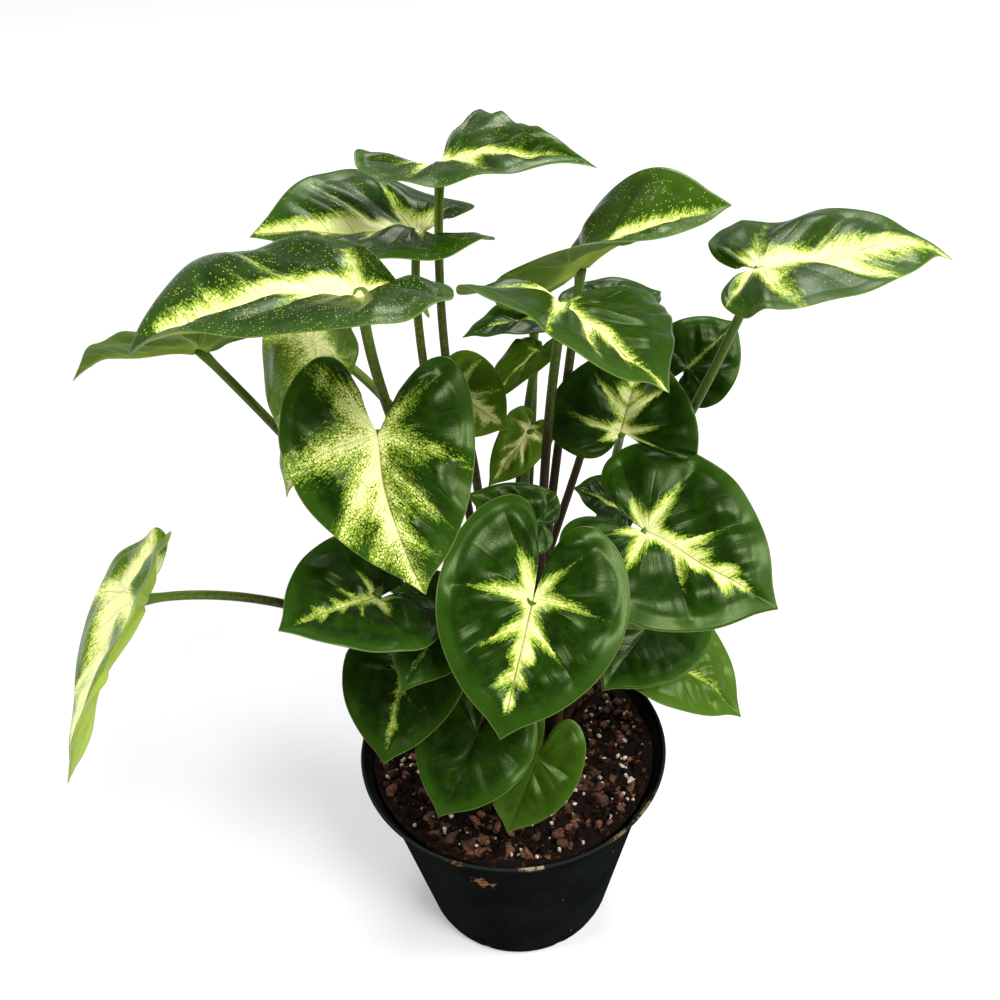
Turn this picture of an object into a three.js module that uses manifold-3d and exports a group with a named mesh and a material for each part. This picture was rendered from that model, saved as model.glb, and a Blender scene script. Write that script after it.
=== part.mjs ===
// A young arrowhead vine with variegated leaves, growing in a round nursery pot.
// Millimetres, +Z up. The origin is the centre of the pot's flat underside, and -Y is the front.

import * as THREE from "three";
import { mergeVertices } from "three/addons/utils/BufferGeometryUtils.js";
import Module from "manifold-3d";

// Pot: a thin tapered wall whose top flares out to the rim
const POT_HEIGHT = 72;
const RIM_RADIUS = 51;
const NECK_HEIGHT = 61;
const NECK_RADIUS = 45.3;
const BASE_RADIUS = 32.3;
const HEEL = 2;
const POT_WALL = 1.1;
const POT_FLOOR = 1.6;
const POT_SIDES = 48;
const DRAIN_HOLES = 8;
const DRAIN_RADIUS = 3.2;
const DRAIN_RING = 29.5;
const DRAIN_TOP = 3.4;

// Soil: its top is crowned and rough
const SOIL_LEVEL = 65;
const SOIL_CROWN = 1.6;
const SOIL_RELIEF = 0.8;
const SOIL_RINGS = 6;
const SEAT_GAP = 0.35;

// Shoots: short jointed stems that end in a rolled young leaf
const SHOOT_RADIUS = 3;
const SHOOT_DEPTH = 20;
const SHOOT_SIDES = 10;
const JOINT_SPACING = 9;
const JOINT_SWELL = 0.5;
const SPEAR_LENGTH = 15;

// Petioles
const PETIOLE_RADIUS = 1.5;
const PETIOLE_DEPTH = 8;
const PETIOLE_STANDOFF = 6.4;
const PETIOLE_CLEARANCE = 0.8;
const PETIOLE_SIDES = 6;
const PETIOLE_STEPS = 10;
const PETIOLE_RISE = 0.45;
const PETIOLE_REACH = 0.35;
const PETIOLE_LEAN = 0.4;

// Blades
const BLADE_THICKNESS = 0.8;
const BLADE_RINGS = [0.3, 0.6, 0.83, 1];
const BLADE_ANGLES = [0, 7, 22, 42, 65, 90, 115, 138, 156, 168, 173];
const SMALL_MIDRIB = 30; // a leaf with a shorter midrib has the coarser rings and angles
const SMALL_RINGS = [0.4, 0.75, 1];
const SMALL_ANGLES = [0, 9, 30, 60, 92, 125, 152, 166, 173];
const HALF_WIDTH = 0.7;
// Shares of the midrib: where a blade's taper leaves its width as it is, and where its tip
// starts to hook down.
const TAPER_MIDDLE = 0.2;
const HOOK_START = 0.7;

// The margin of a flat blade: degrees round from the tip, and the distance from the joint
// as a share of the midrib.
const MARGIN = [
  [0, 1.0], [3, 0.95], [9, 0.885], [23, 0.81], [40, 0.745], [62, 0.7], [85, 0.68],
  [105, 0.68], [125, 0.69], [143, 0.68], [156, 0.64], [166, 0.52], [173, 0.3],
];
const MARGIN_END = 173;

// Each shoot stands in the soil at [x, y].
const SHOOTS = {
  stem_1: { at: [-12, -1], height: 34 },
  stem_2: { at: [8, -10], height: 30 },
  stem_3: { at: [-2, 13], height: 42 },
  stem_4: { at: [14, 7], height: 38 },
  stem_5: { at: [-7, -17], height: 22 },
};

// Angles in degrees, lengths in millimetres, and ratios as shares of the midrib.
// A pair is [left half, right half], seen from the joint towards the tip.
const LEAF_DEFAULTS = {
  width: 1, // across, against MARGIN
  taper: [0, 0], // how much narrower each half gets towards the tip
  lobe: [1, 1], // length of the back lobes, against MARGIN
  sinus: [7, 7], // half of the notch between the lobes
  fold: [8, 8], // how far each half rises from the midrib
  curl: [0, 0], // how far each half turns up more by its margin
  droop: 15, // how far the tip bends down
  hook: 0, // how sharply the last of the tip bends down
  lift: [0, 0], // how far the lobes bend up
  twist: 0, // turn about the midrib, at the tip
  sweep: 0, // sideways bow of the midrib
  wave: 0.02, // height of the margin's waves
  waves: 3, // waves in each half
  phase: 0, // where the waves start
};

// side is the compass angle at which the petiole leaves its shoot. joint and tip are the two
// ends of the midrib. faces is the way the upper side looks. pull is what the petiole's arch
// is drawn towards, where it isn't a plain arch.
const LEAVES = {
  leaf_01: {
    shoot: "stem_3", side: 250, joint: [-11, 28, 257], tip: [28, 12, 259], faces: [0, -0.1, 1],
    fold: [12, 12], curl: [-16, 0], droop: 0, hook: 1.8, lift: [0, 120], twist: 10, width: 0.95,
    taper: [1, 0], lobe: [0.6, 0.9], sinus: [70, 16], pull: [-20, 39, 183],
  },
  leaf_02: {
    shoot: "stem_3", side: 170, joint: [-18.5, 28, 239], tip: [-61, 18, 244], faces: [0, 0.05, 1],
    fold: [8, 26], curl: [0, -26], droop: 0, hook: 0.6, lift: [-20, 25], twist: -20,
    taper: [0, -0.35], lobe: [0.68, 1.2], sinus: [15, 40], pull: [-26, 30, 195],
  },
  leaf_03: {
    shoot: "stem_1", side: 330, joint: [-26.5, -42, 252.8], tip: [-75, -50, 244], faces: [0, 0.1, 1],
    fold: [7, 22], curl: [0, -30], droop: 4, hook: 1.1, lift: [-30, -60], width: 0.94,
    taper: [0, -1.8], lobe: [0.6, 0.5], pull: [-30, -24, 205],
  },
  leaf_04: {
    shoot: "stem_1", side: 275, joint: [-27, -40, 217], tip: [-18, -60, 186], faces: [0.1, -0.8, 0.55],
    fold: [4, 16], droop: 8, width: 0.88, sweep: 0.22, sinus: [30, 24],
  },
  leaf_05: {
    shoot: "stem_1", side: 130, joint: [-43, -8, 225], tip: [-55, -20, 188], faces: [-0.8, -0.5, 0.25],
    droop: 10, width: 0.75, lobe: [0.6, 0.6], wave: 0.05,
  },
  leaf_06: {
    shoot: "stem_1", side: 170, joint: [-75, 0, 222], tip: [-107, -5, 217], faces: [0, 0.3, 1],
    fold: [24, 16], droop: -6, hook: 2, lobe: [0.8, 0.8], pull: [-52, 0, 187],
  },
  leaf_07: {
    shoot: "stem_1", side: 205, joint: [-91, -40, 173], tip: [-109, -70, 141], faces: [-0.9, -0.35, 0.3],
    fold: [14, 14], droop: 10, width: 0.8, lobe: [0.65, 0.65], pull: [-64, -22, 164],
  },
  leaf_08: {
    shoot: "stem_1", side: 240, joint: [-33, -38, 168], tip: [-54, -57, 175], faces: [-0.2, -0.5, 0.8],
    droop: 10, lobe: [0.85, 0.85], pull: [-30, -14, 165],
  },
  leaf_09: {
    shoot: "stem_5", side: 60, joint: [-14, -31, 158], tip: [-28, -50, 146], faces: [-0.2, -0.6, 0.7],
    width: 0.8, lobe: [0.7, 0.5], pull: [-10, -17, 150],
  },
  leaf_10: {
    shoot: "stem_2", side: 250, joint: [7, -44, 170], tip: [-3, -68, 146], faces: [0, -0.75, 0.65],
    fold: [6, 6], droop: 8, lobe: [1, 1.2],
  },
  leaf_11: {
    shoot: "stem_2", side: 330, joint: [39, -20, 171], tip: [71, -38, 157], faces: [0.15, -0.6, 0.75],
    fold: [6, 6], droop: 10, lobe: [0.85, 0.85], pull: [22, -16, 160],
  },
  leaf_12: {
    shoot: "stem_2", side: 20, joint: [44, -3, 124], tip: [27, -24, 117], faces: [0.1, -0.5, 0.8],
    pull: [28, -8, 118],
  },
  leaf_13: {
    shoot: "stem_4", side: 310, joint: [44, 7, 109], tip: [74, -8, 86], faces: [0.4, -0.3, 0.85],
    width: 0.85, lobe: [0.5, 0.5], sinus: [7, 50], pull: [38, -2, 96],
  },
  leaf_14: {
    shoot: "stem_4", side: 350, joint: [65, -10, 240], tip: [109, -14, 241], faces: [0, -0.12, 1],
    fold: [-2, 10], curl: [-6, 0], droop: 4, hook: 1.5, lift: [0, -30], lobe: [0.45, 0.42],
    sinus: [12, 12], pull: [46, 22, 142],
  },
  leaf_15: {
    shoot: "stem_4", side: 215, joint: [23, 3, 237], tip: [60, 3, 251], faces: [0, 0, 1],
    fold: [0, 33], curl: [-8, 0], droop: 30, lift: [0, -40], twist: 36, taper: [-0.3, 0.3],
    lobe: [0.85, 0.7], pull: [22, 19, 198],
  },
  leaf_16: {
    shoot: "stem_2", side: 80, joint: [17, -24, 240], tip: [39, -40, 224], faces: [0.35, -0.5, 0.8],
    fold: [-12, 31], curl: [-10, 0], droop: 10, lift: [-35, -150], width: 1.25, taper: [-1.9, 0],
    lobe: [0.8, 0.85], sinus: [95, 30], pull: [13, -3, 200],
  },
  leaf_17: {
    shoot: "stem_4", side: 30, joint: [34, 1, 190], tip: [42, 14, 211], faces: [0, -0.7, 0.7],
    width: 1.2, lobe: [0.62, 0.35], sinus: [7, 50],
  },
  leaf_18: {
    shoot: "stem_4", side: 60, joint: [60, 42, 187], tip: [76, 50, 198], faces: [0.1, -0.7, 0.7],
    lobe: [0.7, 0.7],
  },
  leaf_19: {
    shoot: "stem_3", side: 30, joint: [34, 40, 210], tip: [52, 50, 209], faces: [0, -0.05, 1],
  },
  leaf_20: {
    shoot: "stem_3", side: 350, joint: [12, 22, 215], tip: [-8, 17, 213], faces: [0, 0, 1],
    width: 0.8, lobe: [0.4, 0.4],
  },
  leaf_21: {
    shoot: "stem_3", side: 300, joint: [12, 8, 212], tip: [-3, -4, 201], faces: [-0.3, 0, 1],
    width: 0.6, lobe: [0.4, 0.3], pull: [6, 12, 180],
  },
  leaf_22: {
    shoot: "stem_1", side: 20, joint: [-10, -12, 212], tip: [3, -20, 205], faces: [-0.1, -0.7, 0.7],
    lobe: [0.7, 0.7],
  },
  leaf_23: {
    shoot: "stem_2", side: 130, joint: [9, 2, 192], tip: [-3, -6, 179], faces: [0.5, -0.7, 0.5],
    width: 0.6, lobe: [0.4, 0.4], pull: [6, 2, 165],
  },
  leaf_24: {
    shoot: "stem_2", side: 180, joint: [10, -20, 176], tip: [-9, -18, 185], faces: [0, -0.5, 0.8],
    width: 0.65, lobe: [0.4, 0.4],
  },
  leaf_25: {
    shoot: "stem_4", side: 255, joint: [34, 6, 161], tip: [21, 3, 171], faces: [0, -0.4, 0.9],
    width: 0.85, lobe: [0.4, 0.4], pull: [28, 2, 135],
  },
  leaf_26: {
    shoot: "stem_5", side: 170, joint: [-29, -26, 131], tip: [-36, -46, 115], faces: [-0.2, -0.7, 0.7],
    lobe: [0.6, 0.6],
  },
  leaf_27: {
    shoot: "stem_5", side: 250, joint: [-10, -36, 114], tip: [-22, -52, 99], faces: [0, -0.65, 0.75],
  },
  leaf_28: {
    shoot: "stem_2", side: 290, joint: [7, -34, 101], tip: [-3, -46, 83], faces: [0.2, -0.6, 0.8],
    width: 0.85,
  },
};

const POT_COLOUR = 0x17191a;
const SOIL_COLOUR = 0x35231a;
const STEM_COLOUR = 0x42501f;
const LEAF_COLOUR = 0x2c5c1e;

const UP = new THREE.Vector3(0, 0, 1);
const radians = THREE.MathUtils.degToRad;

const wasm = await Module();
wasm.setup();

// A closed three.js geometry as a solid that can be joined and cut.
function solidOf(geometry) {
  const bare = geometry.index ? geometry.toNonIndexed() : geometry.clone();
  bare.deleteAttribute("normal");
  bare.deleteAttribute("uv");
  const merged = mergeVertices(bare, 1e-4);
  return new wasm.Manifold(new wasm.Mesh({
    numProp: 3,
    vertProperties: new Float32Array(merged.attributes.position.array),
    triVerts: new Uint32Array(merged.index.array),
  }));
}

function geometryOf(solid) {
  const mesh = solid.getMesh();
  const geometry = new THREE.BufferGeometry();
  geometry.setAttribute("position", new THREE.BufferAttribute(new Float32Array(mesh.vertProperties), 3));
  geometry.setIndex(new THREE.BufferAttribute(new Uint32Array(mesh.triVerts), 1));
  geometry.computeVertexNormals();
  return geometry;
}

function indexed(points, triangles) {
  const geometry = new THREE.BufferGeometry();
  geometry.setFromPoints(points);
  geometry.setIndex(triangles.flat());
  return geometry;
}

// A vertical post through the soil's top, for the hole that a shoot or petiole stands in.
function post(at, radius, bottom, top, sides) {
  const geometry = new THREE.CylinderGeometry(radius, radius, top - bottom, sides);
  geometry.rotateX(Math.PI / 2);
  geometry.translate(at[0], at[1], (top + bottom) / 2);
  return geometry;
}

function lathe(profile, sides) {
  const points = profile.map(([radius, height]) => new THREE.Vector2(radius, height));
  const geometry = new THREE.LatheGeometry(points, sides);
  geometry.rotateX(Math.PI / 2);
  return geometry;
}

// The pot's outer radius at a height.
function potRadius(height) {
  if (height > NECK_HEIGHT) {
    const share = (height - NECK_HEIGHT) / (POT_HEIGHT - NECK_HEIGHT);
    return THREE.MathUtils.lerp(NECK_RADIUS, RIM_RADIUS, share);
  }
  return THREE.MathUtils.lerp(BASE_RADIUS, NECK_RADIUS, height / NECK_HEIGHT);
}

function potGeometry() {
  const shell = solidOf(lathe([
    [0, 0],
    [BASE_RADIUS - HEEL, 0],
    [potRadius(HEEL), HEEL],
    [NECK_RADIUS, NECK_HEIGHT],
    [RIM_RADIUS, POT_HEIGHT],
    [RIM_RADIUS - POT_WALL, POT_HEIGHT],
    [NECK_RADIUS - POT_WALL, NECK_HEIGHT],
    [potRadius(POT_FLOOR) - POT_WALL, POT_FLOOR],
    [0, POT_FLOOR],
  ], POT_SIDES));
  let pot = shell;
  for (let i = 0; i < DRAIN_HOLES; i += 1) {
    const turn = ((i + 0.5) * 2 * Math.PI) / DRAIN_HOLES;
    const at = [DRAIN_RING * Math.cos(turn), DRAIN_RING * Math.sin(turn)];
    pot = pot.subtract(solidOf(post(at, DRAIN_RADIUS, -1, DRAIN_TOP, 8)));
  }
  return geometryOf(pot);
}

// Small bumps of bark and grit, from a few crossed waves.
function soilRelief(x, y) {
  const coarse = Math.sin(0.31 * x + 0.9) * Math.cos(0.27 * y - 0.4);
  const fine = Math.sin(0.83 * x - 0.6 * y) * Math.cos(0.71 * y + 0.5 * x);
  return SOIL_RELIEF * (0.6 * coarse + 0.7 * fine);
}

function soilGeometry() {
  const topRadius = potRadius(SOIL_LEVEL) - POT_WALL - SEAT_GAP;
  const neckRadius = NECK_RADIUS - POT_WALL - SEAT_GAP;
  const bottom = POT_FLOOR + SEAT_GAP;
  const bottomRadius = potRadius(bottom) - POT_WALL - SEAT_GAP;
  const points = [new THREE.Vector3(0, 0, SOIL_LEVEL + SOIL_CROWN)];
  const circle = (radius, height) => {
    for (let i = 0; i < POT_SIDES; i += 1) {
      const turn = (i * 2 * Math.PI) / POT_SIDES;
      const x = radius * Math.cos(turn);
      const y = radius * Math.sin(turn);
      points.push(new THREE.Vector3(x, y, height(x, y)));
    }
  };
  for (let ring = 1; ring <= SOIL_RINGS; ring += 1) {
    const share = ring / SOIL_RINGS;
    const rough = ring < SOIL_RINGS ? 1 : 0;
    circle(topRadius * share, (x, y) =>
      SOIL_LEVEL + SOIL_CROWN * (1 - share * share) + rough * soilRelief(x, y));
  }
  circle(neckRadius, () => NECK_HEIGHT);
  circle(bottomRadius, () => bottom);
  const rings = SOIL_RINGS + 2;
  const last = points.push(new THREE.Vector3(0, 0, bottom)) - 1;
  const triangles = [];
  for (let i = 0; i < POT_SIDES; i += 1) {
    const next = (i + 1) % POT_SIDES;
    triangles.push([0, 1 + i, 1 + next]);
    for (let ring = 0; ring < rings - 1; ring += 1) {
      const inner = 1 + ring * POT_SIDES;
      const outer = inner + POT_SIDES;
      triangles.push([inner + i, outer + i, outer + next]);
      triangles.push([inner + i, outer + next, inner + next]);
    }
    const rim = 1 + (rings - 1) * POT_SIDES;
    triangles.push([last, rim + next, rim + i]);
  }
  let soil = solidOf(indexed(points, triangles));
  const drill = (at, radius, depth, sides) => {
    const hole = post(at, radius, SOIL_LEVEL - depth - SEAT_GAP, POT_HEIGHT, sides);
    soil = soil.subtract(solidOf(hole));
  };
  for (const { at } of Object.values(SHOOTS)) {
    drill(at, SHOOT_RADIUS + SEAT_GAP, SHOOT_DEPTH, SHOOT_SIDES);
  }
  for (const leaf of Object.values(LEAVES)) {
    drill(petioleRoot(leaf), PETIOLE_RADIUS + PETIOLE_CLEARANCE, PETIOLE_DEPTH, PETIOLE_SIDES);
  }
  return geometryOf(soil);
}

// A jointed stem with a slightly swollen ring at each joint, and a rolled leaf on top.
function shootGeometry({ at, height }) {
  const neck = SHOOT_RADIUS - JOINT_SWELL;
  const foot = SOIL_LEVEL - SHOOT_DEPTH;
  const top = SOIL_LEVEL + height - SPEAR_LENGTH;
  const profile = [[0, foot], [neck, foot], [neck, SOIL_LEVEL]];
  for (let z = SOIL_LEVEL + JOINT_SPACING; z < top; z += JOINT_SPACING) {
    profile.push([neck, z - 1.5], [SHOOT_RADIUS, z], [neck - 0.1, z + 1.5]);
  }
  profile.push([neck * 0.8, top], [neck * 0.7, top + SPEAR_LENGTH * 0.5], [0, top + SPEAR_LENGTH]);
  const geometry = lathe(profile, SHOOT_SIDES);
  geometry.translate(at[0], at[1], 0);
  return geometry;
}

function petioleRoot({ shoot, side }) {
  const [x, y] = SHOOTS[shoot].at;
  const turn = radians(side);
  return [x + PETIOLE_STANDOFF * Math.cos(turn), y + PETIOLE_STANDOFF * Math.sin(turn)];
}

// Distance from the joint to the flat blade's margin, by a smooth curve through MARGIN.
function marginRadius(angle) {
  const a = Math.min(Math.abs(angle), MARGIN_END);
  const last = MARGIN.length - 1;
  let k = 0;
  while (k < last - 1 && a >= MARGIN[k + 1][0]) {
    k += 1;
  }
  const slope = (i) => {
    const before = MARGIN[Math.max(i - 1, 0)];
    const after = MARGIN[Math.min(i + 1, last)];
    return (after[1] - before[1]) / (after[0] - before[0]);
  };
  const [a0, r0] = MARGIN[k];
  const [a1, r1] = MARGIN[k + 1];
  const h = a1 - a0;
  const t = (a - a0) / h;
  return (2 * t ** 3 - 3 * t ** 2 + 1) * r0 + (t ** 3 - 2 * t ** 2 + t) * h * slope(k)
    + (3 * t ** 2 - 2 * t ** 3) * r1 + (t ** 3 - t ** 2) * h * slope(k + 1);
}

// A point of the blade's middle surface, for a midrib 1 long: the joint is the origin, the
// midrib starts along +X and the upper side looks along +Z. ring runs from 0, at the joint,
// to 1, on the margin.
function bladePoint(leaf, angle, ring) {
  const half = angle >= 0 ? 0 : 1;
  const side = angle >= 0 ? 1 : -1;
  const turn = radians((angle * (180 - leaf.sinus[half])) / MARGIN_END);
  const reach = ring * marginRadius(angle);
  const along = reach * Math.cos(turn);
  const narrowing = 1 - leaf.taper[half] * (along - TAPER_MIDDLE);
  const across = Math.abs(reach * Math.sin(turn)) * leaf.width * narrowing;
  const x = along < 0 ? along * leaf.lobe[half] : along;

  // Across the blade, each half is an arc that starts at the fold's angle.
  const start = radians(leaf.fold[half]);
  const bend = radians(leaf.curl[half]) || 1e-3;
  const end = start + (bend * across) / HALF_WIDTH;
  let y = (HALF_WIDTH / bend) * (Math.sin(end) - Math.sin(start)) * side + leaf.sweep * x * x;
  let z = (HALF_WIDTH / bend) * (Math.cos(start) - Math.cos(end));
  z += leaf.wave * ring ** 2 * Math.sin(radians(angle * leaf.waves + leaf.phase));
  z -= leaf.hook * Math.max(x - HOOK_START, 0) ** 2;

  const twist = radians(leaf.twist) * x;
  [y, z] = [y * Math.cos(twist) - z * Math.sin(twist), y * Math.sin(twist) + z * Math.cos(twist)];

  // Along the midrib, the tip and the lobes bend by their own angles.
  const curve = (x >= 0 ? -radians(leaf.droop) : radians(leaf.lift[half])) || 1e-3;
  const slope = curve * x;
  return new THREE.Vector3(
    Math.sin(slope) / curve - Math.sin(slope) * z,
    y,
    (1 - Math.cos(slope)) / curve + Math.cos(slope) * z,
  );
}

// Turns, scales and places the blade so that its midrib runs from joint to tip.
function bladePlacement(leaf) {
  const joint = new THREE.Vector3(...leaf.joint);
  const reach = new THREE.Vector3(...leaf.tip).sub(joint);
  const chord = bladePoint(leaf, 0, 1);
  const scale = reach.length() / chord.length();
  const basis = (along, upward) => {
    const x = along.clone().normalize();
    const z = upward.clone().addScaledVector(x, -upward.dot(x)).normalize();
    return new THREE.Matrix4().makeBasis(x, z.clone().cross(x), z);
  };
  const local = basis(chord, UP);
  const world = basis(reach, new THREE.Vector3(...leaf.faces));
  const matrix = world.multiply(local.transpose());
  matrix.scale(new THREE.Vector3(scale, scale, scale));
  matrix.setPosition(joint);
  return matrix;
}

// The blade: an upper and a lower face with the same triangles, and the edge between them.
function bladeGeometry(leaf, placement) {
  const step = 0.02;
  const limit = (angle) => THREE.MathUtils.clamp(angle, -MARGIN_END, MARGIN_END);
  const at = (angle, ring) => bladePoint(leaf, limit(angle), ring).applyMatrix4(placement);
  const normalAt = (angle, ring) => {
    const outward = at(angle, ring + step).sub(at(angle, ring - step));
    const round = at(angle + 1, ring).sub(at(angle - 1, ring));
    return outward.cross(round).normalize();
  };
  const joint = new THREE.Vector3(...leaf.joint);
  const small = joint.distanceTo(new THREE.Vector3(...leaf.tip)) < SMALL_MIDRIB;
  const half = small ? SMALL_ANGLES : BLADE_ANGLES;
  const shares = small ? SMALL_RINGS : BLADE_RINGS;
  const angles = [...half.slice(1).reverse().map((angle) => -angle), ...half];
  const middle = [at(0, 0)];
  const normals = [UP.clone().transformDirection(placement)];
  for (const angle of angles) {
    for (const ring of shares) {
      middle.push(at(angle, ring));
      normals.push(normalAt(angle, ring));
    }
  }
  const shift = (amount) => middle.map((point, i) => point.clone().addScaledVector(normals[i], amount));
  const points = [...shift(BLADE_THICKNESS / 2), ...shift(-BLADE_THICKNESS / 2)];
  const rings = shares.length;
  const index = (column, ring) => (ring === 0 ? 0 : 1 + column * rings + ring - 1);
  const triangles = [];
  const below = middle.length;
  const face = (a, b, c) => {
    triangles.push([a, b, c]);
    triangles.push([a + below, c + below, b + below]);
  };
  const edge = (a, b) => {
    triangles.push([a, a + below, b + below]);
    triangles.push([a, b + below, b]);
  };
  for (let column = 0; column < angles.length - 1; column += 1) {
    face(0, index(column, 1), index(column + 1, 1));
    for (let ring = 1; ring < rings; ring += 1) {
      const a = index(column, ring);
      const b = index(column, ring + 1);
      const c = index(column + 1, ring + 1);
      const d = index(column + 1, ring);
      face(a, b, c);
      face(a, c, d);
    }
    edge(index(column, rings), index(column + 1, rings));
  }
  for (let ring = 0; ring < rings; ring += 1) {
    edge(index(0, ring), index(0, ring + 1));
    edge(index(angles.length - 1, ring + 1), index(angles.length - 1, ring));
  }
  return indexed(points, triangles);
}

// The petiole's line: straight up through the soil, then one arch to the underside of the joint.
class PetioleCurve extends THREE.Curve {
  constructor(leaf, placement) {
    super();
    const [x, y] = petioleRoot(leaf);
    const foot = new THREE.Vector3(x, y, SOIL_LEVEL - PETIOLE_DEPTH);
    const ground = new THREE.Vector3(x, y, SOIL_LEVEL + 1);
    const joint = new THREE.Vector3(...leaf.joint);
    const span = joint.distanceTo(ground);
    const rise = ground.clone().addScaledVector(UP, span * PETIOLE_RISE);
    const upper = UP.clone().transformDirection(placement);
    const arrival = upper.addScaledVector(UP, PETIOLE_LEAN).normalize();
    const under = joint.clone().addScaledVector(arrival, -span * PETIOLE_REACH);
    const pull = leaf.pull ? new THREE.Vector3(...leaf.pull) : under;
    this.straight = new THREE.LineCurve3(foot, ground);
    this.arch = new THREE.CubicBezierCurve3(ground, rise, pull, joint);
    this.share = foot.distanceTo(ground) / (foot.distanceTo(ground) + span);
  }

  getPoint(t) {
    if (t < this.share) {
      return this.straight.getPoint(t / this.share);
    }
    return this.arch.getPoint((t - this.share) / (1 - this.share));
  }
}

function petioleGeometry(leaf, placement) {
  const section = new THREE.Shape();
  for (let i = 0; i < PETIOLE_SIDES; i += 1) {
    const turn = (i * 2 * Math.PI) / PETIOLE_SIDES;
    const corner = [PETIOLE_RADIUS * Math.cos(turn), PETIOLE_RADIUS * Math.sin(turn)];
    if (i === 0) {
      section.moveTo(...corner);
    } else {
      section.lineTo(...corner);
    }
  }
  section.closePath();
  return new THREE.ExtrudeGeometry(section, {
    steps: PETIOLE_STEPS,
    extrudePath: new PetioleCurve(leaf, placement),
  });
}

function leafGeometry(leaf) {
  const placement = bladePlacement(leaf);
  const blade = solidOf(bladeGeometry(leaf, placement));
  const petiole = solidOf(petioleGeometry(leaf, placement));
  return geometryOf(blade.add(petiole));
}

const plant = new THREE.Group();

function addPart(name, geometry, colour, roughness) {
  const material = new THREE.MeshStandardMaterial({ color: colour, roughness, metalness: 0 });
  const mesh = new THREE.Mesh(geometry, material);
  mesh.name = name;
  plant.add(mesh);
}

addPart("pot", potGeometry(), POT_COLOUR, 0.6);
addPart("soil", soilGeometry(), SOIL_COLOUR, 0.95);
for (const [name, shoot] of Object.entries(SHOOTS)) {
  addPart(name, shootGeometry(shoot), STEM_COLOUR, 0.6);
}
for (const [name, shape] of Object.entries(LEAVES)) {
  addPart(name, leafGeometry({ ...LEAF_DEFAULTS, ...shape }), LEAF_COLOUR, 0.4);
}

export default plant;
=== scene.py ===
from math import cos, hypot, pi, radians, sin, tan
from types import SimpleNamespace

import bmesh
import bpy
import numpy as np
from mathutils import Matrix, Vector, noise


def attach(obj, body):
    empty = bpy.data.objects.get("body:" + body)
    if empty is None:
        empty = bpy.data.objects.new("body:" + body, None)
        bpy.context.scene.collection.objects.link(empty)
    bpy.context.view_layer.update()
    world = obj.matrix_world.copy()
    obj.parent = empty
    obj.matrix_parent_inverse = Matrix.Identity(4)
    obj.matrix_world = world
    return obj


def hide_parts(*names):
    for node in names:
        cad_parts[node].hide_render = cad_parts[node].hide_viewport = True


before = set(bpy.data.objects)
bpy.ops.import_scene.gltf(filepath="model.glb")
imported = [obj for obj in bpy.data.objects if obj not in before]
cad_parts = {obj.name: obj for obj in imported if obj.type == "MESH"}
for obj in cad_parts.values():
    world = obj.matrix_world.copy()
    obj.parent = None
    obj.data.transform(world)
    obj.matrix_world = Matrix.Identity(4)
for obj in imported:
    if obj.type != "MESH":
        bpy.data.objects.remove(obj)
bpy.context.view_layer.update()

# Sizes are in millimetres, as on the solids, and points become metres where a mesh is made.
MM = 0.001
UP = np.array([0.0, 0, 1])

# Pot. A point of its rounded foot is given by how far it lies inside the base's edge, and its height.
POT_HEIGHT = 72
RIM_RADIUS = 51
NECK_HEIGHT = 61
NECK_RADIUS = 45.3
NECK_BLUR = 2.5
BASE_RADIUS = 32.3
POT_FOOT = [(4, 0), (2, 0), (0.9, 0.3), (0.1, 1.1)]
POT_WALL = 1.1
POT_FLOOR = 1.6
POT_SIDES = 144
DRAIN_HOLES = 8
DRAIN_RADIUS = 3.2
DRAIN_RING = 29.5
DRAIN_TOP = 3.4
DRAIN_BELOW = 1
DRAIN_SIDES = 24

# Soil. Its bank is the rise towards the wall, and starts at a share of the rim's radius.
SOIL_LEVEL = 65
SOIL_RISE = 0.8
SOIL_BANK = 3.4
BANK_START = 0.7
BANK_WIDTH = 0.3
SOIL_CROWN = 1.6
SOIL_RELIEF = 0.8
SOIL_CRUMBS = 1.1
SEAT_GAP = 0.35
SOIL_RINGS = 110
SOIL_SIDES = 220

# Loose bits on the soil: half lengths, height as a share of the length, how finely round and how
# jagged they are. All are sunk by the same share of their height.
BIT_SINK = 0.3
BITS = {
    "peat_crumbs": {"amount": 900, "sizes": (0.5, 1.7), "flat": 0.75, "detail": 1, "jag": 0.9},
    "bark_chips": {"amount": 420, "sizes": (0.5, 2.1), "flat": 0.7, "detail": 2, "jag": 0.9},
    "perlite_grains": {"amount": 330, "sizes": (0.4, 1.15), "flat": 0.85, "detail": 1, "jag": 0.4},
}

# Shoots. A joint is a swelling of the neck, as (added radius, height) pairs, and the rolled young
# leaf on top is made of shares of the neck's radius and of the spear's length.
SHOOT_RADIUS = 3
SHOOT_SUNK = 4
SHOOT_SIDES = 24
JOINT_SPACING = 9
JOINT_SWELL = 0.5
JOINT_FORM = [(0, -2), (0.2, -1), (JOINT_SWELL, 0), (-0.1, 1)]
SPEAR_LENGTH = 15
SPEAR_FORM = [(0.82, 0), (0.78, 0.3), (0.6, 0.6), (0.25, 0.9), (0, 1)]
SHOOTS = {
    "stem_1": {"at": (-12, -1), "height": 34},
    "stem_2": {"at": (8, -10), "height": 30},
    "stem_3": {"at": (-2, 13), "height": 42},
    "stem_4": {"at": (14, 7), "height": 38},
    "stem_5": {"at": (-7, -17), "height": 22},
}

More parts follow.
